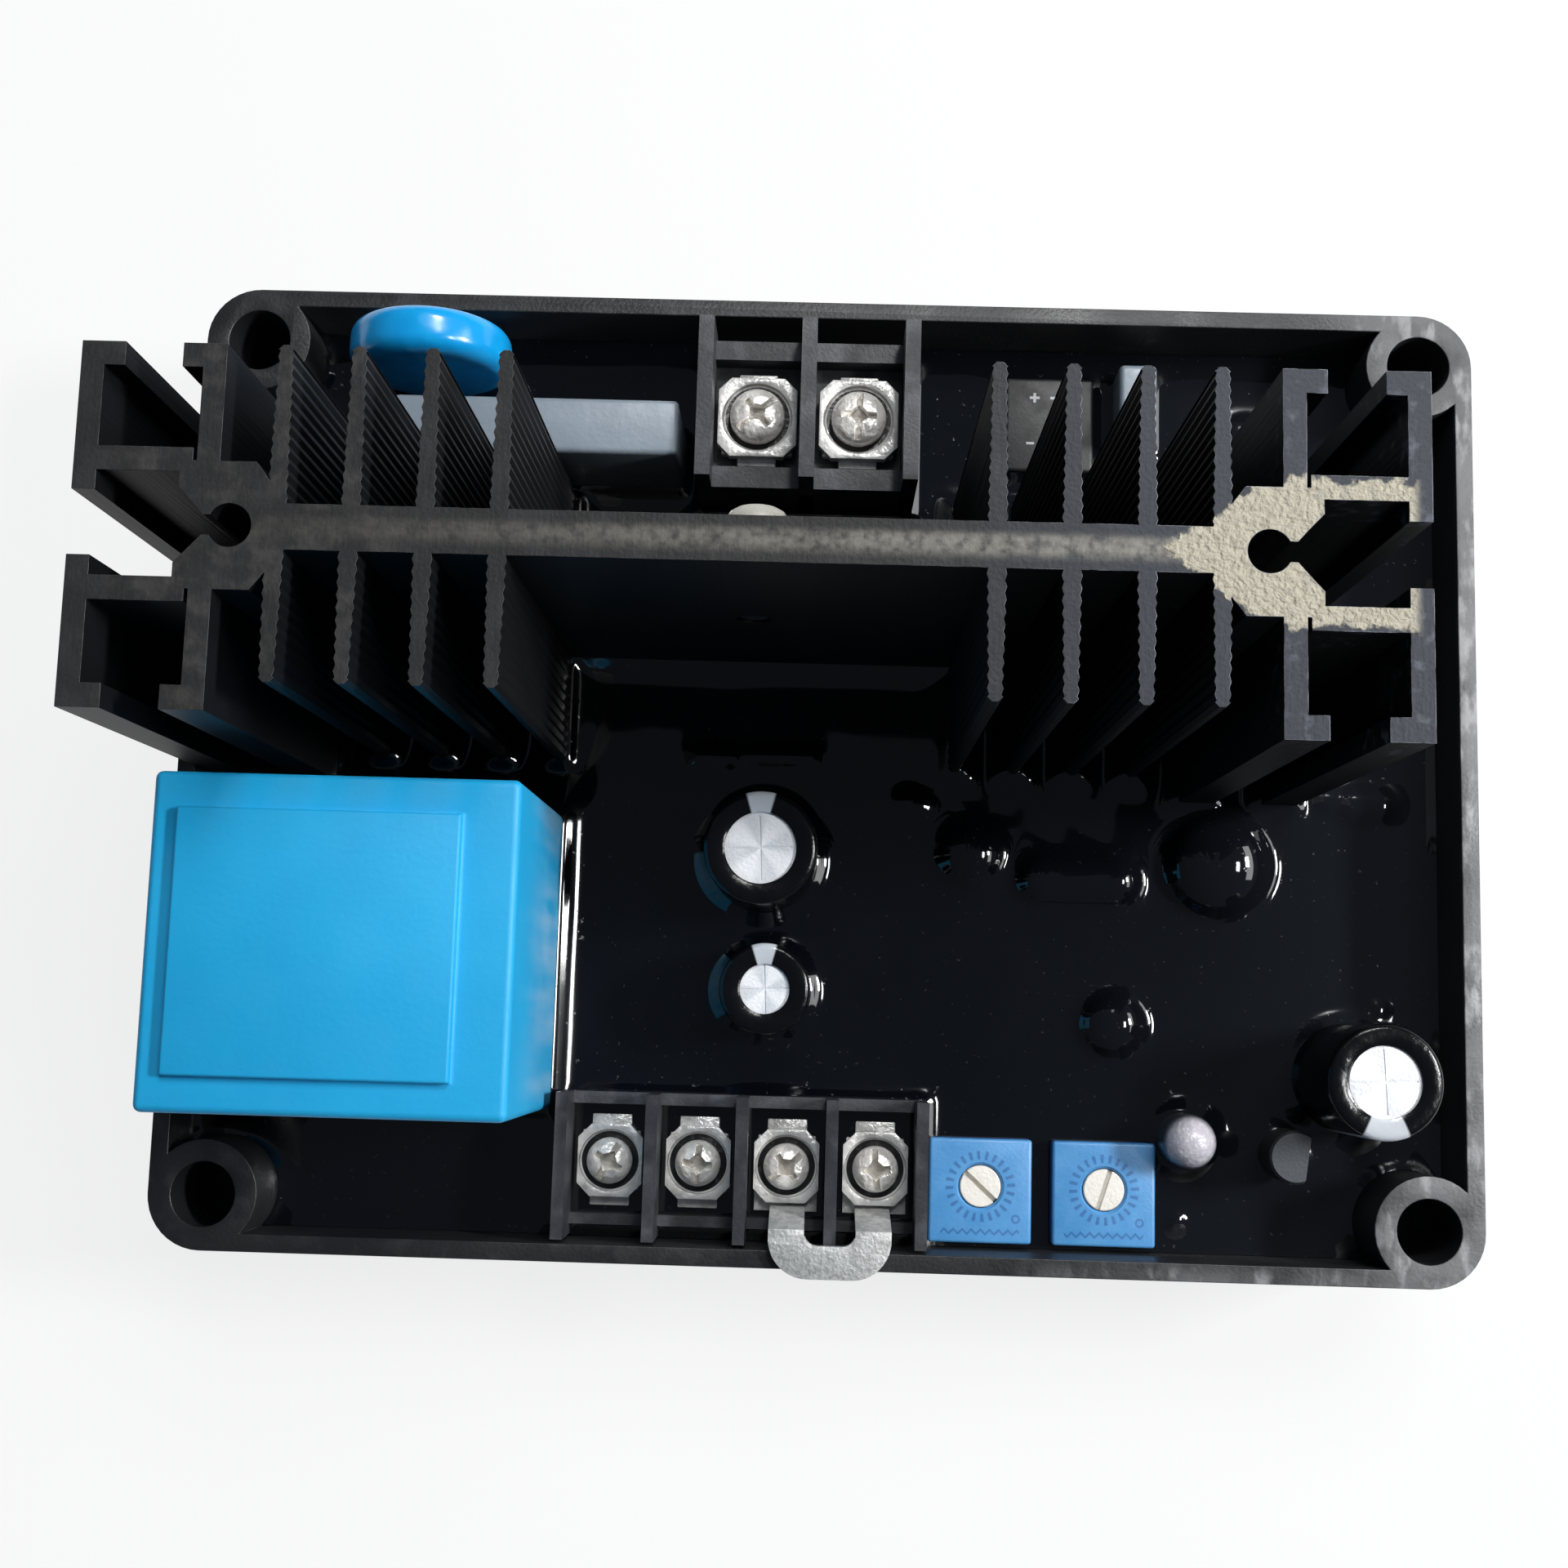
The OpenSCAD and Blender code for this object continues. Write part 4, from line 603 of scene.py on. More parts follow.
# %% Resin body
bpy.ops.object.mode_set(mode="EDIT")
bpy.ops.mesh.select_all(action="SELECT")
bpy.ops.mesh.extrude_region_move(TRANSFORM_OT_translate={"value": (0, 0, -0.004)})
bpy.ops.transform.resize(value=(1, 1, 0), center_override=(0, 0, POT_BASE * MM))
bpy.ops.mesh.dissolve_faces()
outward()
for x, y in HOLES:
    combine(resin, prism("plug", circle(x, y, BOSS_R + 0.05, 48), 5, 18), "DIFFERENCE")
smooth(resin, 50)
print("resin", len(resin.data.polygons), "faces")

# %% [markdown]
# The resin is black all through. A clear gloss with faint dust and a few dull patches keeps it from
# looking like glass. It is a little paler at the right.

# %% Resin finish
resin_gloss = finish("resin_gloss", (0.0018, 0.0024, 0.0042), 0.05)
dull(resin_gloss, 16, 0.09, low=0.45, high=0.75)
dust_specks = cloud(resin_gloss, 0.5, 0.68, 0.74, 2)
lay(resin_gloss, "Roughness", part_of(resin_gloss, dust_specks, 0.7), 0.4)
second_tone(resin_gloss, 11, 0.6, (0.0035, 0.0042, 0.0058), high=0.75)
tint(resin_gloss, along(resin_gloss, "X", 5, 55), (0.0062, 0.0072, 0.0098))
tint(resin_gloss, dust_specks, (0.04, 0.04, 0.045), 0.25)
bump(resin_gloss, cloud(resin_gloss, 6, 0.2, 0.8, 1), 0.025, 0.5)
done(resin, resin_gloss, ROOT, "resin", "potting")

# %% [markdown]
# ## Heat sink
# The heat sink is a sawn length of black anodised extrusion. Its CAD solid already has the fins, the
# grooves, the hooks and the screw channels, so a copy of it is enough. The copy's loose triangles are
# merged, flat neighbours become one face again, and the sharp edges are broken a little, because bright
# lines along them are what shows an edge on a black part.

# %% Heat sink shape
sink = copy_of(nodes["heat_sink"], "finned_profile")
bpy.ops.object.mode_set(mode="EDIT")
bpy.ops.mesh.select_all(action="SELECT")
bpy.ops.mesh.remove_doubles(threshold=1e-6)
bpy.ops.mesh.dissolve_limited(angle_limit=math.radians(0.5))
outward()
use(sink, "BEVEL", width=0.2 * MM, segments=1, limit_method="ANGLE", angle_limit=math.radians(30))
only(sink)
bpy.ops.object.shade_flat()
print("heat sink", len(sink.data.polygons), "faces")

# %% [markdown]
# The sides are a soft black with faint lines along the extrusion. The sawn end is greyer, with fine saw
# marks, and at the right a bluish sheen is painted on it.

# %% Heat sink finish
anodised = finish("black_anodised", (0.0055, 0.0057, 0.0072), 0.5, specular=0.2)
bump(anodised, cloud(anodised, 0.35, 0.3, 0.7, 3, (1, 1, 90)), 0.012)
tint(anodised, cloud(anodised, 6, 0.45, 0.7, 4, (1, 1, 6)), (0.009, 0.0095, 0.0115), 0.5)
sawn = both(anodised, facing(anodised, "Z", 0.8, 0.95), along(anodised, "Z", 52.9, 53.2))
tint(anodised, sawn, (0.023, 0.023, 0.0235))
tint(anodised, both(anodised, sawn, cloud(anodised, 3, 0.4, 0.7, 6)), (0.032, 0.032, 0.033))
lay(anodised, "Roughness", sawn, 0.5)
right_end = along(anodised, "X", 2, 30)
# Painted sheen: the sawn end is laid a lighter blue-grey towards the right.
tint(anodised, both(anodised, sawn, right_end), (0.036, 0.041, 0.052))
bump(anodised, both(anodised, sawn, cloud(anodised, 0.3, 0.3, 0.7, 3, (1, 6, 1))), 0.008)
print("anodised sides and sawn end")

# %% [markdown]
# Bright lines are painted along the sawn edges in places, as painted highlights. On the small bevels
# the normal stands between upright and level, so that picks them out. The painted highlights are
# stronger on the right.

# %% Painted edge highlights
def between_slopes(material):
    """A mask of faces that slope at about 45 degrees."""
    steep = facing(material, "Z", 0.4, 0.6)
    level = ramp(material, facing(material, "Z", 0.8, 0.92), 1, 0)
    return both(material, steep, level)


edges = both(anodised, between_slopes(anodised), along(anodised, "Z", 53.0, 53.2))
# Painted highlights: pale metal colour on the edge bevels, brightest at the right.
edge_glints = both(anodised, edges, cloud(anodised, 1.6, 0.38, 0.58, 6))
tint(anodised, edge_glints, (0.16, 0.16, 0.165), 0.35)
tint(anodised, both(anodised, edge_glints, right_end), (0.42, 0.44, 0.5), 0.9)
print("bare metal on the sawn edges")

# %% [markdown]
# Dust lies in a soft streak on the web. On the right hub it is a full cover whose edge follows a wedge:
# from the web it spreads to the hub's full height, and a little noise frays its edge.

# %% Dust
def near(material, axis, middle, half, soft):
    """A mask that is 1 near a place on an axis and falls off on both sides, in millimetres."""
    rise = along(material, axis, middle - half - soft, middle - half)
    fall = ramp(material, along(material, axis, middle + half, middle + half + soft), 1, 0)
    return both(material, rise, fall)


def wedge(material, tip_x, slope, widest, fray):
    """How deep a place lies inside a wedge that opens to the right, in metres, with a frayed edge."""
    parts = parts_of(material, place(material))
    apart = calc(material, "ABSOLUTE", calc(material, "SUBTRACT", parts["Y"], SINK_Y * MM))
    opening = calc(material, "MULTIPLY_ADD", parts["X"], slope, -slope * tip_x * MM)
    depth = calc(material, "SUBTRACT", calc(material, "MINIMUM", opening, widest * MM), apart)
    noise = part_of(material, cloud(material, 1.2, 0.2, 0.8, 6), fray * MM)
    return calc(material, "SUBTRACT", depth, noise)


on_web = both(anodised, sawn, near(anodised, "Y", SINK_Y, 0.15, 1.25), along(anodised, "X", -56, 34))
streak = both(anodised, on_web, cloud(anodised, 0.8, 0.15, 0.7, 8))
tint(anodised, streak, (0.3, 0.285, 0.245), 0.85)
cover = both(anodised, sawn, ramp(anodised, wedge(anodised, 23.6, 0.75, 6.6, 1.4), 0, 0.5 * MM),
             ramp(anodised, along(anodised, "X", 43.2, 44.6), 1, 0))
tint(anodised, cover, (0.48, 0.445, 0.355))
crumbs = both(anodised, cover, cloud(anodised, 0.7, 0.5, 0.75, 6))
tint(anodised, crumbs, (0.26, 0.23, 0.17), 0.55)
lay(anodised, "Roughness", cover, 0.9)
bump(anodised, both(anodised, cover, cloud(anodised, 0.5, 0.3, 0.7, 6)), 0.12)
left_dust = both(anodised, sawn, near(anodised, "X", -44, 8, 5), cloud(anodised, 1.5, 0.4, 0.8, 6))
tint(anodised, left_dust, (0.14, 0.13, 0.115), 0.22)
right_plates = both(anodised, along(anodised, "X", 31, 36), along(anodised, "Z", 42, 52))
plate_scuffs = both(anodised, right_plates, cloud(anodised, 1.3, 0.52, 0.75, 6))
tint(anodised, plate_scuffs, (0.2, 0.22, 0.27), 0.4)
done(sink, anodised, ROOT, "black_anodised", "heat_sink")

# %% [markdown]
# ## Transformer
# A closed blue case with a slightly raised panel on top. One block is enough: its top face is inset and
# drawn up for the panel, and the edges are rounded as a moulded case has them.

# %% Transformer
PANEL_MARGIN, PANEL_NARROWING, PANEL_SHIFT, PANEL_RISE = 2.35, 22.8 / 23.7, -1.2, 0.8
case = box("transformer_case", (-55.0, -31.8, DECK), (-24.8, -4.1, 39.9))


def pick_top(obj):
    """Selects the faces that look straight up, and enters edit mode."""
    only(obj)
    bpy.ops.object.mode_set(mode="EDIT")
    bpy.context.tool_settings.mesh_select_mode = (False, False, True)
    bpy.ops.mesh.select_all(action="DESELECT")
    bpy.ops.object.mode_set(mode="OBJECT")
    for face in obj.data.polygons:
        face.select = face.normal.z > 0.999
    bpy.ops.object.mode_set(mode="EDIT")


soften(case, 0.65, 5)
pick_top(case)
bpy.ops.mesh.inset(thickness=PANEL_MARGIN * MM)
bpy.ops.transform.resize(value=(PANEL_NARROWING, 1, 1))
bpy.ops.transform.translate(value=(PANEL_SHIFT * MM, 0, 0))
bpy.ops.mesh.extrude_region_move(TRANSFORM_OT_translate={"value": (0, 0, PANEL_RISE * MM)})
outward()
soften(case, 0.25, 3)
blue_case = finish("blue_case", (0.011, 0.37, 0.71), 0.5, specular=0.35)
grain(blue_case, 0.6, 0.006)
second_tone(blue_case, 10, 0.6, (0.014, 0.41, 0.76), low=0.35)
# Painted reflection: pale upright streaks on the lower part of the side face that looks to the right.
reflection_streaks = both(blue_case, facing(blue_case, "X", 0.6, 0.9), cloud(blue_case, 3, 0.4, 0.8, 2, (1, 1, 10)),
               ramp(blue_case, along(blue_case, "Z", 14, 42), 1, 0))
tint(blue_case, reflection_streaks, (0.45, 0.62, 0.78), 0.5)
dull(blue_case, 4, 0.6)
done(case, blue_case, ROOT, "blue_case", "transformer")

# %% [markdown]
# ## Electrolytic capacitors
# Each one is a drawn aluminium can in a shrunk black sleeve that folds over the can's end. The sleeve
# and the can are spun from their profiles. Two shallow grooves cross the can's end, where it would open
# if it burst, and a pale sector on the sleeve marks the negative side.

# %% Capacitor shapes
def sleeve_profile(r, h):
    """A thin wall that folds over the can's end in a soft lip."""
    angles = np.radians((0, 22, 45, 68, 90))
    fold = [(r - 0.55 + 0.55 * math.cos(a), h - 0.2 + 0.55 * math.sin(a)) for a in angles]
    lip = r - 1.9
    under = [(lip + 0.3, h + 0.33), (lip, h + 0.2), (lip + 0.1, h + 0.05), (r - 0.3, h + 0.04)]
    return [(r - 0.3, 0), (r, 0)] + fold + under


def can_profile(r, h):
    """A closed can with a rolled top edge and a slightly dished end."""
    end = [(r - 0.12, h - 0.12), (r - 0.4, h), (r * 0.55, h - 0.02), (0, h - 0.06)]
    return [(0, 0), (r, 0), (r, h - 0.4)] + end


sleeves = {}
cans = {}
for name, (x, y, d, h) in CAPS.items():
    sleeves[name] = smooth(turned(f"{name}_capacitor_jacket", sleeve_profile(d / 2, h), (x, y, DECK), 72))
    can = turned(f"{name}_capacitor_body", can_profile(d / 2 - 0.36, h), (x, y, DECK), 72)
    for turn in (3, 93):
        half, end = d * 0.28, DECK + h
        groove = box("groove", (x - half, y - 0.09, end - 0.1), (x + half, y + 0.09, end + 1))
        turn_about(groove, (x, y, 0), turn)
        combine(can, groove, "DIFFERENCE")
    cans[name] = smooth(can, 30)
print("capacitors", ", ".join(cans))

# %% Capacitor finishes
def around(material, x, y):
    """The angle about an upright axis through a place in millimetres, and the distance from it."""
    offset = mapped(material, (1, 1, 0), (-x * MM, -y * MM, 0))
    parts = parts_of(material, offset)
    reach = add_node(material, "ShaderNodeVectorMath", operation="LENGTH")
    material.node_tree.links.new(offset, reach.inputs[0])
    return calc(material, "ARCTAN2", parts["Y"], parts["X"]), reach.outputs["Value"]


def waves(material, angle, count, shift=0.0):
    """A mask with that many soft waves around a circle."""
    turn = calc(material, "MULTIPLY_ADD", angle, count, shift)
    return ramp(material, calc(material, "SINE", turn), -0.7, 0.9)


def can_finish(name, x, y):
    """Bright aluminium turned on a lathe, with the sectors in which it shines painted into its colour."""
    metal = finish(f"{name}_can_metal", (0.95, 0.96, 0.98), 0.34, 0.15)
    grain(metal, 0.3, 0.01)
    angle, _ = around(metal, x, y)
    # Painted sheen: darker sectors around the can's axis, between the bright ones.
    tint(metal, waves(metal, angle, 4, 0.6), (0.62, 0.64, 0.68), 0.7)
    second_tone(metal, 1.5, 0.3, (0.78, 0.79, 0.81))
    dull(metal, 1.5, 0.46)
    return metal


def sleeve_finish(name, x, y, start, end):
    """Black shrunk film with a pale sector between two angles around the piece's own axis."""
    film = finish(f"{name}_sleeve_film", (0.0028, 0.003, 0.004), 0.16, specular=0.3)
    grain(film, 1.2, 0.02)
    dull(film, 3, 0.22)
    angle, _ = around(film, x, y)
    soft = 0.03
    rise = ramp(film, angle, math.radians(start) - soft, math.radians(start) + soft)
    fall = ramp(film, angle, math.radians(end) + soft, math.radians(end) - soft)
    tint(film, both(film, rise, fall), (0.55, 0.58, 0.62))
    return film


sectors = {"filter": (76, 106), "timing": (76, 108), "supply": (-114, -66)}
for name, (x, y, *_) in CAPS.items():
    film = sleeve_finish(name, x, y, *sectors[name])
    done(sleeves[name], film, ROOT, "black_sleeve", f"{name}_capacitor_sleeve")
    done(cans[name], can_finish(name, x, y), ROOT, "bare_aluminium", f"{name}_capacitor_can")

# %% [markdown]
# ## Film capacitors, varistor and rectifier
# The film capacitors are small grey-blue boxes with rounded edges. The varistor is a disc dipped in
# blue resin, so it has a rounded rim and runs down onto its leads. The rectifier is a black block with
# printed polarity signs.

# %% Film capacitors
film_grey = finish("film_case", (0.2, 0.245, 0.29), 0.36)
grain(film_grey, 0.6, 0.008)
second_tone(film_grey, 5, 0.6, (0.25, 0.3, 0.35))
dull(film_grey, 3, 0.45)
for name, low, high, node in (
    ("film_capacitor_case", (-40.9, 28.4, DECK), (-14.4, 33.6, 24.3), "film_capacitor"),
    ("small_film_capacitor_case", (27.35, 33.4, DECK), (30.95, 40.6, 17.3), "small_film_capacitor"),
):
    body = soften(box(name, low, high), 0.5, 4)
    done(body, film_grey, ROOT, "film_case", node)

# %% Varistor
front_rim = arc(6.1, -0.7, 1.5, -85, 0, 7)
rear_rim = [(r, -z) for r, z in reversed(front_rim)]
disc_view = [(0, -2.2), (5.6, -2.2)] + front_rim + rear_rim + [(5.6, 2.2), (0, 2.2)]
disc = turned("varistor_disc", disc_view, (0, 0, 0), 72)
turn_about(disc, (0, 0, 0), 90, "X")
disc.location = [v * MM for v in VARISTOR]
settle(disc)
coated_lead = [(0, 6.1), (0.4, 6.1), (0.45, 11), (1.0, 13.2), (1.3, 14.6), (0, 15.2)]
for x in (-3.8, 3.8):
    lead = turned("lead", coated_lead, (VARISTOR[0] + x, VARISTOR[1], 0), 24)
    combine(disc, lead, "UNION")
smooth(disc)
blue_coat = finish("blue_coat", (0.005, 0.31, 0.72), 0.2)
grain(blue_coat, 2.5, 0.04, 1)
second_tone(blue_coat, 3, 0.6, (0.008, 0.37, 0.78))
done(disc, blue_coat, ROOT, "blue_coat", "varistor")

# %% Rectifier
LEAD_R, LEAD_END = 0.4, 6.1


def add_leads(piece, places, top):
    """Melts in round leads that go down through the board."""
    for x, y in places:
        combine(piece, prism("lead", circle(x, y, LEAD_R), LEAD_END, top), "UNION")


bridge = soften(box("bridge_rectifier_block", (16.75, 30.8, DECK), (25.35, 40.2, 13.9)), 0.35, 3)
add_leads(bridge, [(BRIDGE_X + x, BRIDGE_Y + y) for x in (-2.58, 2.58) for y in (-2.82, 2.82)], 10)
smooth(bridge)


def package_finish(name, colour=(0.009, 0.009, 0.01), second=(0.016, 0.016, 0.018)):
    """Moulded black plastic with a fine grain."""
    made = finish(name, colour, 0.48)
    grain(made, 0.25, 0.006)
    second_tone(made, 2, 0.6, second, low=0.45)
    dull(made, 1.5, 0.6)
    return made


def bar(material, x, y, long_x, long_y):
    """A mask of one printed bar."""
    return both(material, near(material, "X", x, long_x, 0.06), near(material, "Y", y, long_y, 0.06))


black_package = package_finish("black_package")
bridge_paint = package_finish("bridge_package")
bars = [(19.6, 38.2, 0.45, 0.1), (19.6, 38.2, 0.1, 0.45), (21.6, 38.2, 0.45, 0.1)]
bars += [(19.2, 33.6, 0.35, 0.09), (20.6, 33.6, 0.35, 0.09)]
signs = both(bridge_paint, *[bar(bridge_paint, *sizes) for sizes in bars], operation="MAXIMUM")
marks = both(bridge_paint, signs, facing(bridge_paint, "Z", 0.8, 0.95))
tint(bridge_paint, marks, (0.55, 0.55, 0.58), 0.7)
done(bridge, bridge_paint, ROOT, "black_package", "bridge_rectifier")

# %% [markdown]
# ## Transistor and lamp
# The small transistor is a round package with one flat side on three leads. The lamp has a round collar
# with a flat side, and a frosted lens.

# %% Transistor
barrel = [(0, 14.1), (2.2, 14.1), (2.4, 14.3), (2.4, 18.6), (2.2, 18.8), (0, 18.8)]
small = turned("small_transistor_package", barrel, (TRANSISTOR_X, TRANSISTOR_Y, 0), 48)
flat = box("flat", (44.6, -40, 10), (50, -28, 22))
turn_about(flat, (TRANSISTOR_X, TRANSISTOR_Y, 0), -8)
combine(small, flat, "DIFFERENCE")
soften(small, 0.12, 2, 50)
add_leads(small, [(TRANSISTOR_X, TRANSISTOR_Y + y) for y in (-1.27, 0, 1.27)], 15)
smooth(small, 20)
small_paint = package_finish("transistor_package", (0.012, 0.013, 0.015), (0.018, 0.02, 0.023))
# Painted sheen: the upward faces are laid a lighter bluish grey.
tint(small_paint, facing(small_paint, "Z", 0.7, 0.95), (0.036, 0.043, 0.053))
done(small, small_paint, ROOT, "black_package", "small_transistor")

# %% Lamp
collar = [(0, 10.4), (2.8, 10.4), (2.9, 10.5), (2.9, 11.3), (2.8, 11.4), (2.5, 11.4)]
lens = arc(0, 16.5, 2.5, 0, 90, 9)[:-1] + [(0, 19.0)]
lamp_body = turned("indicator_lamp_lens", collar + lens, (LAMP_X, LAMP_Y, 0), 48)
combine(lamp_body, box("flat", (30, -37, 10), (31.71, -29, 11.9)), "DIFFERENCE")
add_leads(lamp_body, [(LAMP_X + x, LAMP_Y) for x in (-1.27, 1.27)], 11)
smooth(lamp_body)
clear_lens = finish("frosted_lens", (0.05, 0.055, 0.065), 0.22)
tint(clear_lens, along(clear_lens, "Z", 17.0, 18.3), (0.5, 0.48, 0.53))
frost = both(clear_lens, along(clear_lens, "Z", 17.3, 18.3), cloud(clear_lens, 0.45, 0.4, 0.8, 3))
tint(clear_lens, frost, (0.68, 0.65, 0.7))
grain(clear_lens, 0.4, 0.03)
done(lamp_body, clear_lens, ROOT, "clear_lens", "indicator_lamp")

# %% [markdown]
# ## Terminal blocks
# A terminal block is a base with thin barriers between its cells and a low wall at each end of a cell.
# The pieces of one block are melted together, and the wells for the screws are bored before the edges
# are rounded.

# %% Terminal blocks
FRONT_SCREW_Y, REAR_SCREW_Y = -36.3, 33.0


def terminal_block(name, x, pitch, poles, barrier, ys, base_ys, walls, seat, wall_z, top, screw_y):
    """A base, its low walls and its barriers, melted into one piece."""
    width = poles * pitch + barrier
    piece = box(name, (x - width / 2, base_ys[0], DECK), (x + width / 2, base_ys[1], seat))
    for y0, y1 in walls:
        combine(piece, box("wall", (x - width / 2, y0, DECK), (x + width / 2, y1, wall_z)), "UNION")
    for k in range(poles + 1):
        at = x + (k - poles / 2) * pitch
        wall = box("barrier", (at - barrier / 2, ys[0], DECK), (at + barrier / 2, ys[1], top))
        combine(piece, wall, "UNION")
    for k in range(poles):
        at = x + (k - (poles - 1) / 2) * pitch
        combine(piece, prism("well", circle(at, screw_y, 1.65), DECK + 0.2, seat + 0.4), "DIFFERENCE")
    return soften(piece, 0.18, 2)


front_block = terminal_block("front_terminal_body", FRONT_X, 8.2, 4, 1.1, (-43.1, -30.0), (-42.1, -30.0),
                             ((-42.1, -41.1), (-31.1, -30.0)), 12.7, 15.0, 19.4, FRONT_SCREW_Y)
rear_block = terminal_block("rear_terminal_body", REAR_X, 9.5, 2, 1.4, (26.1, 41.2), (26.1, 40.2),
                            ((26.1, 28.1), (38.4, 40.2)), 19.7, 22.0, 26.0, REAR_SCREW_Y)
block_plastic = finish("block_plastic", (0.022, 0.023, 0.028), 0.45)
grain(block_plastic, 0.3, 0.008)
second_tone(block_plastic, 4, 0.6, (0.045, 0.046, 0.055))
rubbed_tops = both(block_plastic, facing(block_plastic, "Z"), cloud(block_plastic, 2.5, 0.45, 0.75, 6))
tint(block_plastic, rubbed_tops, (0.065, 0.067, 0.078))
dull(block_plastic, 3, 0.58)
done(front_block, block_plastic, ROOT, "tray_plastic", "front_terminal_block")
done(rear_block, block_plastic, ROOT, "tray_plastic", "rear_terminal_block")

# %% [markdown]
# ## Contact strips, washers and screws
# Under each screw lies a contact strip, and on it a square washer with clipped corners and a round dish
# that takes the screw's head. The head is low and domed, with a cross that runs out into a slot. One of
# each is modelled for the front and one for the rear, and the others are copies.

# %% Contact strips
FRONT_POLES = [-18.95, -10.75, -2.55, 5.65]
REAR_POLES = [-7.2, 2.3]


def contact_strip(name, x, y, z, wide, strip_w, strip_l, pin_y):
    """A strip, wider around its tapped hole, with its pin."""
    piece = box(name, (x - wide / 2, y - wide / 2, z), (x + wide / 2, y + wide / 2, z + 0.9))
    a, b = strip_w / 2, strip_l / 2
    combine(piece, box("strip", (x - a, y - b, z), (x + a, y + b, z + 0.9)), "UNION")
    combine(piece, prism("bore", circle(x, y, 1.51), z - 1, z + 2), "DIFFERENCE")
    soften(piece, 0.12, 2)
    combine(piece, prism("pin", circle(x, pin_y, 0.6), LEAD_END, z + 0.4), "UNION")
    return smooth(piece)


def at_poles(first, poles, node, label, lift=0.0):
    """A side's first piece and its copies at the other poles, lifted from the third pole on."""
    row = {f"{node}_1": first}
    for i, x in enumerate(poles[1:], 2):
        offset = (x - poles[0], 0, lift if i > 2 else 0)
        row[f"{node}_{i}"] = copy_of(first, f"{label}_{i}", offset)
    return row


front_strip = contact_strip("front_strip_1", FRONT_POLES[0], FRONT_SCREW_Y, 12.7, 5.4, 3.7, 8.4, -33.1)
rear_strip = contact_strip("rear_strip_1", REAR_POLES[0], REAR_SCREW_Y, 19.7, 6.66, 3.6, 8.9, 29.4)
strips = at_poles(front_strip, FRONT_POLES, "front_contact", "front_strip")
strips |= at_poles(rear_strip, REAR_POLES, "rear_contact", "rear_strip")
print("strips", len(strips))

# %% Washers
def clamp_washer(name, x, y, z, w, l, head_r):
    """A clipped square plate with a dish that has a sloping wall."""
    a, b, c = w / 2, l / 2, 1.2
    outline = [(-a, c - b), (c - a, -b), (a - c, -b), (a, c - b)]
    outline += [(-px, -py) for px, py in outline]
    piece = prism(name, [(x + px, y + py) for px, py in outline], z, z + 1.1)
    dish = [(0, 0.6), (head_r + 0.3, 0.6), (head_r + 0.45, 0.7), (head_r + 0.6, 1.6), (0, 1.6)]
    combine(piece, turned("dish", dish, (x, y, z), 64), "DIFFERENCE")
    combine(piece, prism("bore", circle(x, y, 1.65), z - 1, z + 2), "DIFFERENCE")
    return soften(piece, 0.1, 2, 30)


LINK_T = 0.8
front_washer = clamp_washer("front_clamp_1", FRONT_POLES[0], FRONT_SCREW_Y, 13.6, 6.0, 6.6, 2.35)
rear_washer = clamp_washer("rear_clamp_1", REAR_POLES[0], REAR_SCREW_Y, 20.6, 7.4, 7.6, 2.75)
washers = at_poles(front_washer, FRONT_POLES, "front_washer", "front_clamp", LINK_T)
washers |= at_poles(rear_washer, REAR_POLES, "rear_washer", "rear_clamp")
print("washers", len(washers))

# %% Screws
def terminal_screw(name, x, y, z, r, length):
    """A domed head on a plain shank, with a cross that runs out into a slot."""
    dome = [(1, 0.84), (0.97, 1.15), (0.86, 1.5), (0.66, 1.82), (0.4, 2.02), (0.18, 2.09), (0, 2.1)]
    profile = [(0, -length), (1.1, -length), (1.45, 0.35 - length), (1.45, 0), (r - 0.12, 0), (r, 0.15)]
    profile += [(r * share, rise) for share, rise in dome]
    piece = turned(name, profile, (x, y, z), 64)
    slot = box("slot", (x - r * 1.2, y - 0.32, z + 1.4), (x + r * 1.2, y + 0.32, z + 3))
    cross = box("cross", (x - 0.32, y - r * 0.65, z + 1.4), (x + 0.32, y + r * 0.65, z + 3))
    middle = box("middle", (x - 0.75, y - 0.75, z + 1.0), (x + 0.75, y + 0.75, z + 3))
    turn_about(middle, (x, y, 0), 45)
    combine(slot, cross, "UNION")
    combine(slot, middle, "UNION")
    combine(piece, slot, "DIFFERENCE")
    return soften(piece, 0.07, 2, 45)


SCREW_TURNS = [60, 85, 40, 95, 40, 88]
front_screw = terminal_screw("front_bolt_1", FRONT_POLES[0], FRONT_SCREW_Y, 14.2, 2.1, 4.4)
screws = at_poles(front_screw, FRONT_POLES, "front_screw", "front_bolt", LINK_T)
rear_screw = terminal_screw("rear_bolt_1", REAR_POLES[0], REAR_SCREW_Y, 21.2, 2.55, 8.0)
screws |= at_poles(rear_screw, REAR_POLES, "rear_screw", "rear_bolt")
screw_ys = [FRONT_SCREW_Y] * len(FRONT_POLES) + [REAR_SCREW_Y] * len(REAR_POLES)
for screw, x, y, turn in zip(screws.values(), FRONT_POLES + REAR_POLES, screw_ys, SCREW_TURNS):
    turn_about(screw, (x, y, 0), turn)
print("screws", len(screws))

# %% [markdown]
# The washers and strips are dull nickel plate with faint stains, with painted highlights on their edges.
# The screws are brighter and a little warmer. Shade is painted on the floors of the dishes and of the
# cross slots, which are found by height: the floors of both are flat and lie below the metal around them.

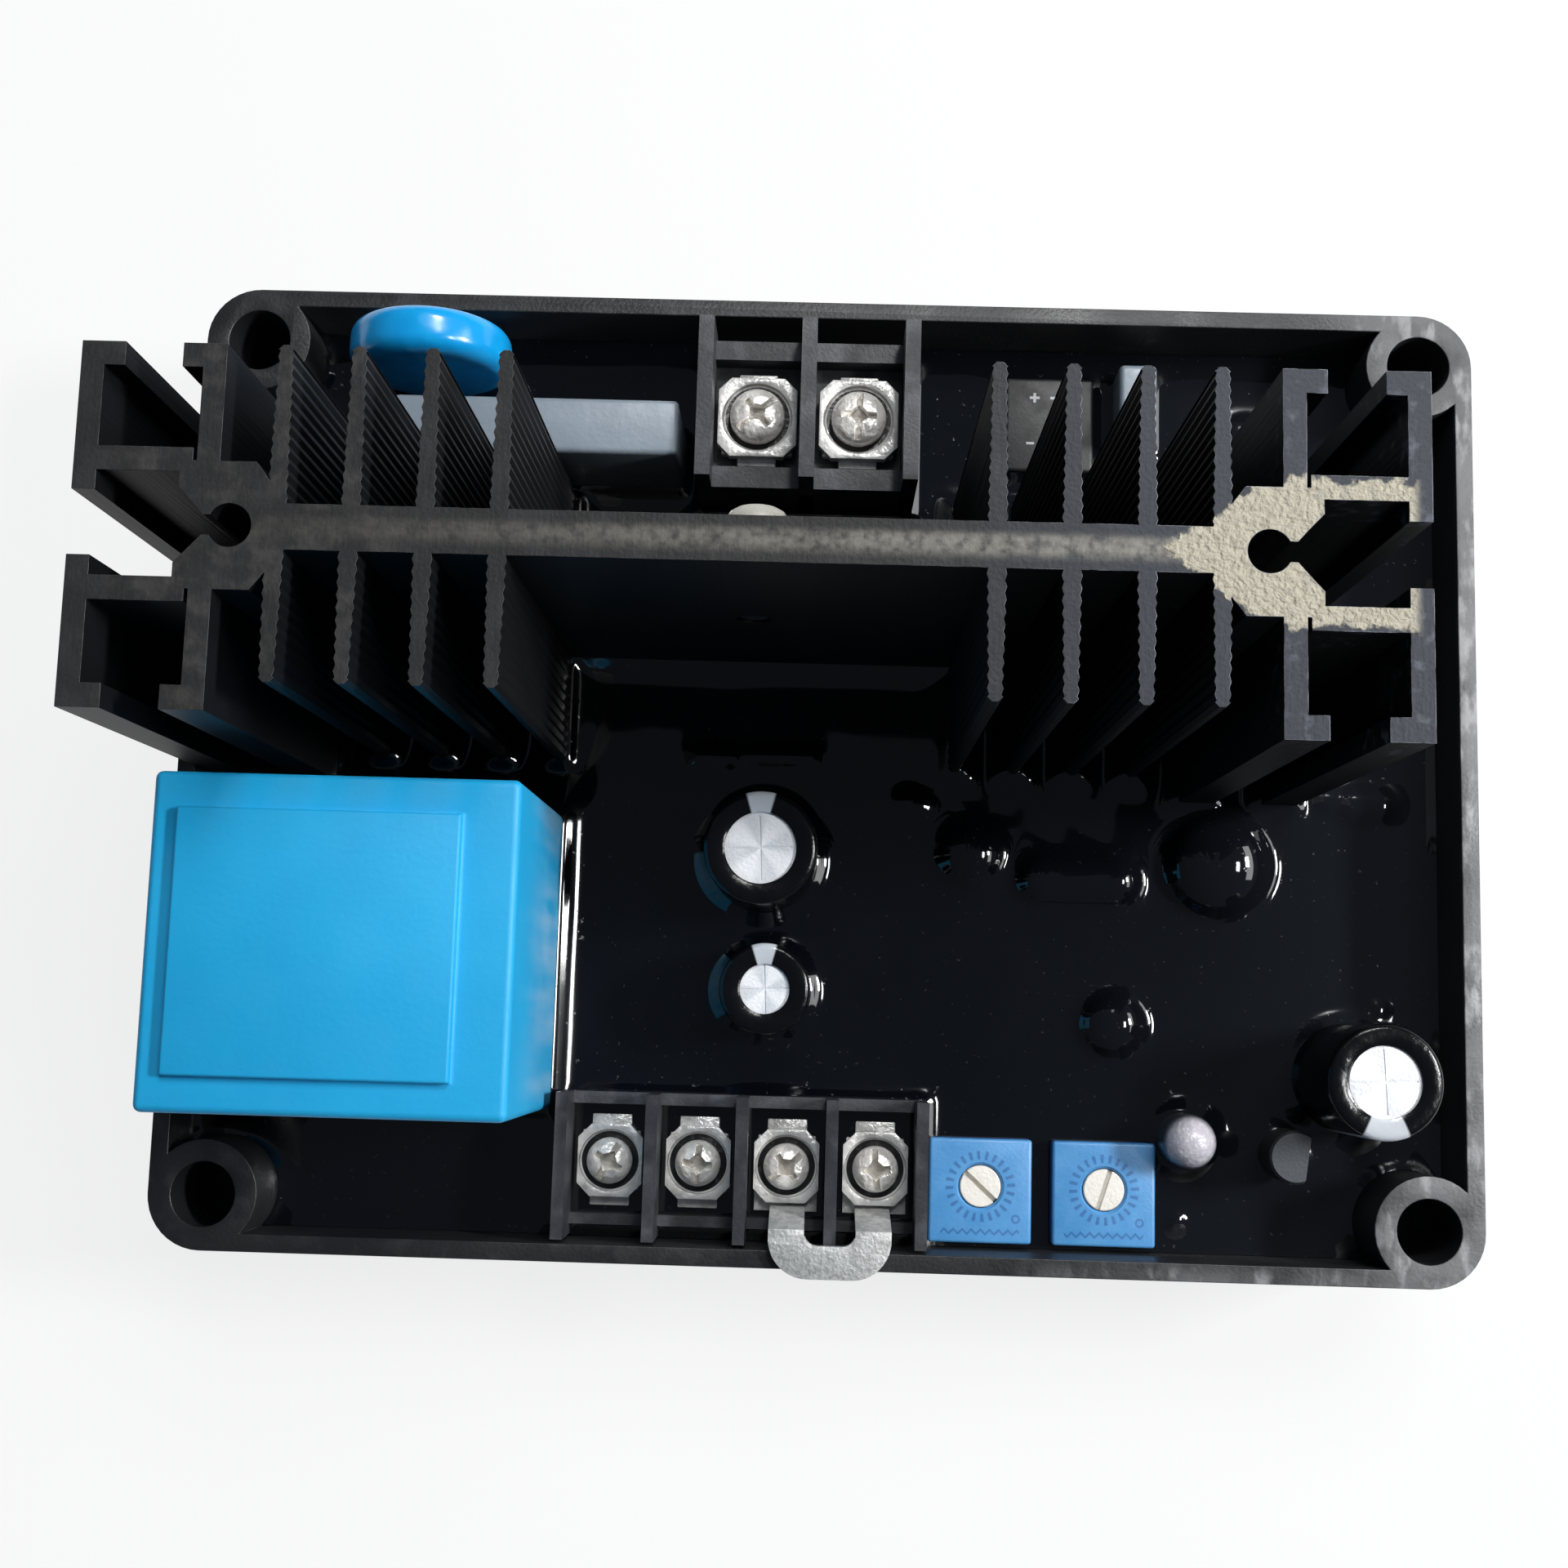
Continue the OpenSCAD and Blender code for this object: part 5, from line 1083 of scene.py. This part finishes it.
# %% Metal finishes
def plated_finish(name):
    """Dull nickel plate with stains, and painted highlights on its bevelled edges."""
    made = finish(name, (0.72, 0.71, 0.69), 0.28, 0.25)
    grain(made, 0.4, 0.025)
    second_tone(made, 1.4, 0.6, (0.36, 0.36, 0.34), low=0.42, detail=6)
    # Painted highlights on the bevelled edges.
    tint(made, between_slopes(made), (0.9, 0.89, 0.87), 0.7)
    dull(made, 0.8, 0.42)
    return made


def hollow_shade(material, height, colour):
    """Painted shade on the flat floors that lie below a height in millimetres."""
    below = ramp(material, along(material, "Z", height - 0.1, height), 1, 0)
    floors = both(material, facing(material, "Z", 0.95, 0.99), below)
    # Painted shade: the floors are darkened and lose their metal sheen.
    tint(material, floors, colour)
    lay(material, "Metallic", floors, 0)


def screw_finish(name):
    """Bright warm nickel plate with light scratches."""
    made = finish(name, (0.98, 0.95, 0.9), 0.4, 0.35)
    grain(made, 0.9, 0.09, 2)
    second_tone(made, 0.9, 0.4, (0.6, 0.57, 0.51), low=0.5, high=0.72, detail=6)
    dull(made, 0.5, 0.3, detail=6)
    return made


plated = plated_finish("plated_steel")
bright = screw_finish("bright_plate")
washer_tops = {"front": 14.7, "linked": 15.5, "rear": 21.7}
washer_paint = {}
screw_paint = {}
for kind, top in washer_tops.items():
    washer_paint[kind] = plated_finish(f"{kind}_washer_plate")
    hollow_shade(washer_paint[kind], top - 0.2, (0.006, 0.006, 0.007))
    screw_paint[kind] = screw_finish(f"{kind}_screw_plate")
    hollow_shade(screw_paint[kind], top + 1.02, (0.4, 0.375, 0.33))


def kind_of(name):
    """Which of the three heights a washer or a screw stands at."""
    return "rear" if name.startswith("rear") else "linked" if name[-1] in "34" else "front"


for name, piece in strips.items():
    done(piece, plated, ROOT, "steel", name)
for name, piece in washers.items():
    done(piece, washer_paint[kind_of(name)], name, "steel", name)
for name, piece in screws.items():
    done(piece, screw_paint[kind_of(name)], name, "steel", name)

# %% [markdown]
# ## Link
# The link is a U of zinc-plated sheet. Its two forks lie under the washers of the right-hand front
# poles, its legs bend up in front of them, and the U rests on the tray's rim. Each leg is drawn from
# its side view, the forks and the U from their top views, and all are melted together.

# %% Link
LINK_X, LINK_LOW, LINK_HIGH = 1.55, 13.6, 20.15
BEND_Y, TOP_Y, LINK_END = -40.43, -42.03, -45.7
CORNER = 0.63


def side_prism(name, outline, x0, x1):
    """A side view in Y and Z, drawn along X."""
    piece = prism(name, outline, x0, x1)
    for vertex in piece.data.vertices:
        y, z, x = vertex.co
        vertex.co = (x, y, z)
    bpy.ops.object.mode_set(mode="EDIT")
    outward()
    return piece


def link_plate():
    """The flat U on the rim, with round corners and a round-ended gap."""
    half, gap, gap_y = 5.5, 2.3, LINK_END + 2.9
    outer = [(half, TOP_Y), (-half, TOP_Y)]
    inner = [(gap, TOP_Y + 1), (-gap, TOP_Y + 1)]
    for s, start in ((-1, 180), (1, 270)):
        outer += arc(s * (half - 3.5), LINK_END + 3.5, 3.5, start, start + 90, 10)
        inner += arc(s * (gap - 1.2), gap_y + 1.2, 1.2, start, start + 90, 6)
    plate = prism("terminal_bridge", [(LINK_X + x, y) for x, y in outer], LINK_HIGH, LINK_HIGH + LINK_T)
    gap_cut = prism("gap", [(LINK_X + x, y) for x, y in inner], LINK_HIGH - 1, LINK_HIGH + 2)
    return combine(plate, gap_cut, "DIFFERENCE")


link = link_plate()
leg_view = [
    (BEND_Y + 1, LINK_LOW), (BEND_Y, LINK_LOW), (TOP_Y, LINK_HIGH), (TOP_Y - 0.5, LINK_HIGH),
    (TOP_Y - 0.5, LINK_HIGH + LINK_T), (TOP_Y + CORNER, LINK_HIGH + LINK_T),
    (BEND_Y + CORNER, LINK_LOW + LINK_T), (BEND_Y + 1, LINK_LOW + LINK_T),
]
for s, pole in ((-1, FRONT_POLES[2]), (1, FRONT_POLES[3])):
    leg_x = LINK_X + s * 3.9
    combine(link, side_prism("leg", leg_view, leg_x - 1.6, leg_x + 1.6), "UNION")
    fork = box("fork", (pole - 2.9, BEND_Y, LINK_LOW), (pole + 2.9, -34.1, LINK_LOW + LINK_T))
    slot = arc(pole, FRONT_SCREW_Y, 1.7, 180, 360, 12) + [(pole + 1.7, -33), (pole - 1.7, -33)]
    combine(fork, prism("slot", slot, 12, 16), "DIFFERENCE")
    combine(link, fork, "UNION")
soften(link, 0.16, 2, 25)
zinc = finish("zinc_plate", (0.5, 0.505, 0.495), 0.48, 0.3)
grain(zinc, 0.35, 0.03, 6)
second_tone(zinc, 0.7, 0.6, (0.3, 0.305, 0.295), high=0.65, detail=6)
second_tone(zinc, 0.25, 0.6, (0.6, 0.61, 0.6), low=0.55, detail=3)
dull(zinc, 1, 0.6)
done(link, zinc, ROOT, "zinc", "terminal_link")

# %% [markdown]
# ## Trimmers
# A trimmer is a small blue box with a slotted cream rotor in a round bore. Ticks around the bore, a
# zigzag line at the front edge and a small ring are printed in dark blue. All of them are generic.

# %% Trimmers
def trimmer_finish(name, x, y, turn_y):
    """Blue plastic with ticks around the rotor, a zigzag line in front and a small ring."""
    blue = finish(f"{name}_trimmer_blue", (0.02, 0.1, 0.3), 0.4)
    grain(blue, 0.3, 0.007)
    upper = along(blue, "Z", 13.6, 14.1)
    # Painted shade: everything below the top stays a dark navy, and only the upper part is laid the full
    # blue.
    tint(blue, upper, (0.07, 0.28, 0.59))
    mottled = both(blue, upper, cloud(blue, 3, 0.4, 0.7))
    tint(blue, mottled, (0.095, 0.33, 0.65), 0.6)
    dull(blue, 1.5, 0.5)
    top = facing(blue, "Z", 0.8, 0.95)
    angle, reach = around(blue, x, turn_y)
    ring = both(blue, ramp(blue, reach, 2.4 * MM, 2.55 * MM), ramp(blue, reach, 3.3 * MM, 3.15 * MM))
    ticks = both(blue, ring, ramp(blue, waves(blue, angle, 24), 0.5, 0.85))
    parts = parts_of(blue, place(blue))
    height = calc(blue, "SUBTRACT", parts["Y"], calc(blue, "PINGPONG", parts["X"], 0.42 * MM))
    line_y = (y - 3.95) * MM
    zigzag = both(blue, ramp(blue, height, line_y - 0.16 * MM, line_y - 0.06 * MM),
                  ramp(blue, height, line_y + 0.2 * MM, line_y + 0.1 * MM),
                  near(blue, "X", x, 3.6, 0.1))
    _, small = around(blue, x + 3.3, y - 2.5)
    dot = both(blue, ramp(blue, small, 0.2 * MM, 0.26 * MM), ramp(blue, small, 0.45 * MM, 0.38 * MM))
    print_marks = both(blue, both(blue, ticks, zigzag, dot, operation="MAXIMUM"), top)
    tint(blue, print_marks, (0.012, 0.06, 0.25), 0.55)
    return blue


cream = finish("cream_plastic", (0.86, 0.83, 0.76), 0.42)
grain(cream, 0.3, 0.015)
second_tone(cream, 0.8, 0.4, (0.72, 0.68, 0.6))
ROTOR_TURNS = {"left": -42, "right": 72}
BORE_VIEW = [(0, -2.58), (1.98, -2.58), (1.98, -0.25), (2.2, -0.05), (2.2, 1), (0, 1)]
ROTOR_VIEW = [(0, -2.5), (1.9, -2.5), (1.9, -0.12), (1.8, -0.02), (1.2, 0), (0, 0)]
for side, (x, y) in TRIMMERS.items():
    half, top, ry = 4.765, 14.2, y + 0.4
    body = box(f"{side}_trimmer_case", (x - half, y - half, DECK), (x + half, y + half, top))
    soften(body, 0.3, 3)
    combine(body, turned("bore", BORE_VIEW, (x, ry, top), 64), "DIFFERENCE")
    smooth(body)
    done(body, trimmer_finish(side, x, y, ry), ROOT, "trimmer_blue", f"{side}_trimmer")
    rotor = turned(f"{side}_rotor", ROTOR_VIEW, (x, ry, top), 64)
    slit = box("slit", (x - 3, ry - 0.22, top - 0.7), (x + 3, ry + 0.22, top + 1))
    turn_about(slit, (x, ry, 0), ROTOR_TURNS[side])
    combine(rotor, slit, "DIFFERENCE")
    smooth(rotor, 30)
    done(rotor, cream, f"{side}_trimmer_rotor", "ivory_plastic", f"{side}_trimmer_rotor")

# %% [markdown]
# ## Thyristor
# Behind the web stands a flat power package on a thin grey pad, held by one pan-head screw. Half-round
# notches in its sides and a hole for the screw are cut before its edges are rounded.

# %% Thyristor and its screw
def lying(name, profile, at, steps=48):
    """A round piece whose axis points to the rear, from a profile of (radius, distance) points."""
    piece = turned(name, profile, (0, 0, 0), steps)
    turn_about(piece, (0, 0, 0), -90, "X")
    piece.location = [v * MM for v in at]
    return settle(piece)


SCREW_Z, PACKAGE_Y = 32.7, 15.1
package = box("thyristor_package", (SINK_X - 7.8, PACKAGE_Y, 17.3), (SINK_X + 7.8, 19.3, 37.3))
for x, r in ((-7.8, 1.8), (7.8, 1.8), (0, 1.65)):
    cut = lying("cut", [(0, -1), (r, -1), (r, 6), (0, 6)], (SINK_X + x, PACKAGE_Y, SCREW_Z))
    combine(package, cut, "DIFFERENCE")
soften(package, 0.25, 3)
add_leads(package, [(SINK_X + x, 17.2) for x in (-5.45, 0, 5.45)], 18)
smooth(package)
done(package, black_package, ROOT, "black_package", "thyristor")
head = [(2.8, 4.2), (2.8, 4.6), (2.7, 5.1), (2.4, 5.6), (1.8, 5.95), (1.0, 6.07), (0, 6.1)]
shank = [(0, -3.6), (1.2, -3.6), (1.45, -3.3), (1.45, 4.2)]
pan_screw = lying("thyristor_bolt", shank + head, (SINK_X, PACKAGE_Y, SCREW_Z))
slit = box("slit", (SINK_X - 4, 20.4, SCREW_Z - 0.35), (SINK_X + 4, 22, SCREW_Z + 0.35))
turn_about(slit, (SINK_X, 0, SCREW_Z), 25, "Y")
combine(pan_screw, slit, "DIFFERENCE")
soften(pan_screw, 0.08, 2, 50)
pale_plate = finish("pale_plate", (0.02, 0.02, 0.022), 0.4)
tint(pale_plate, along(pale_plate, "Y", 16, 17), (0.78, 0.75, 0.66))
grain(pale_plate, 0.3, 0.015)
dull(pale_plate, 0.8, 0.5)
done(pan_screw, pale_plate, ROOT, "ivory_plastic", "thyristor_screw")

# %% [markdown]
# ## What the resin hides
# The board, the screws under the heat sink, the thyristor's pad and the small parts under the resin
# keep their CAD solids. They get plain finishes of their own, because they show if someone looks at the
# parts one by one.

# %% Hidden parts
def plain_finish(name, colour, second, roughness, metallic=0.0):
    """A finish with a second tone in patches and a fine grain."""
    made = finish(name, colour, roughness, metallic)
    grain(made, 0.3, 0.02)
    second_tone(made, 2.5, 0.7, second)
    dull(made, 1.5, min(roughness + 0.15, 1))
    return made


hidden = {
    "circuit_board": plain_finish("board_green", (0.03, 0.13, 0.06), (0.05, 0.18, 0.08), 0.45),
    "heat_sink_screws": bright,
    "thyristor_pad": plain_finish("grey_pad", (0.3, 0.33, 0.35), (0.36, 0.39, 0.41), 0.7),
    "choke": plain_finish("ferrite_grey", (0.045, 0.045, 0.045), (0.06, 0.06, 0.06), 0.6),
    "bead_capacitor_left": plain_finish("bead_amber", (0.42, 0.24, 0.06), (0.5, 0.3, 0.1), 0.35),
    "load_resistor": plain_finish("resistor_buff", (0.5, 0.42, 0.28), (0.42, 0.34, 0.22), 0.6),
    "diode": black_package,
}
hidden["bead_capacitor_right"] = hidden["bead_capacitor_left"]
for name, paint in hidden.items():
    nodes[name].data.materials.clear()
    nodes[name].data.materials.append(paint)
print("hidden parts painted:", len(hidden))
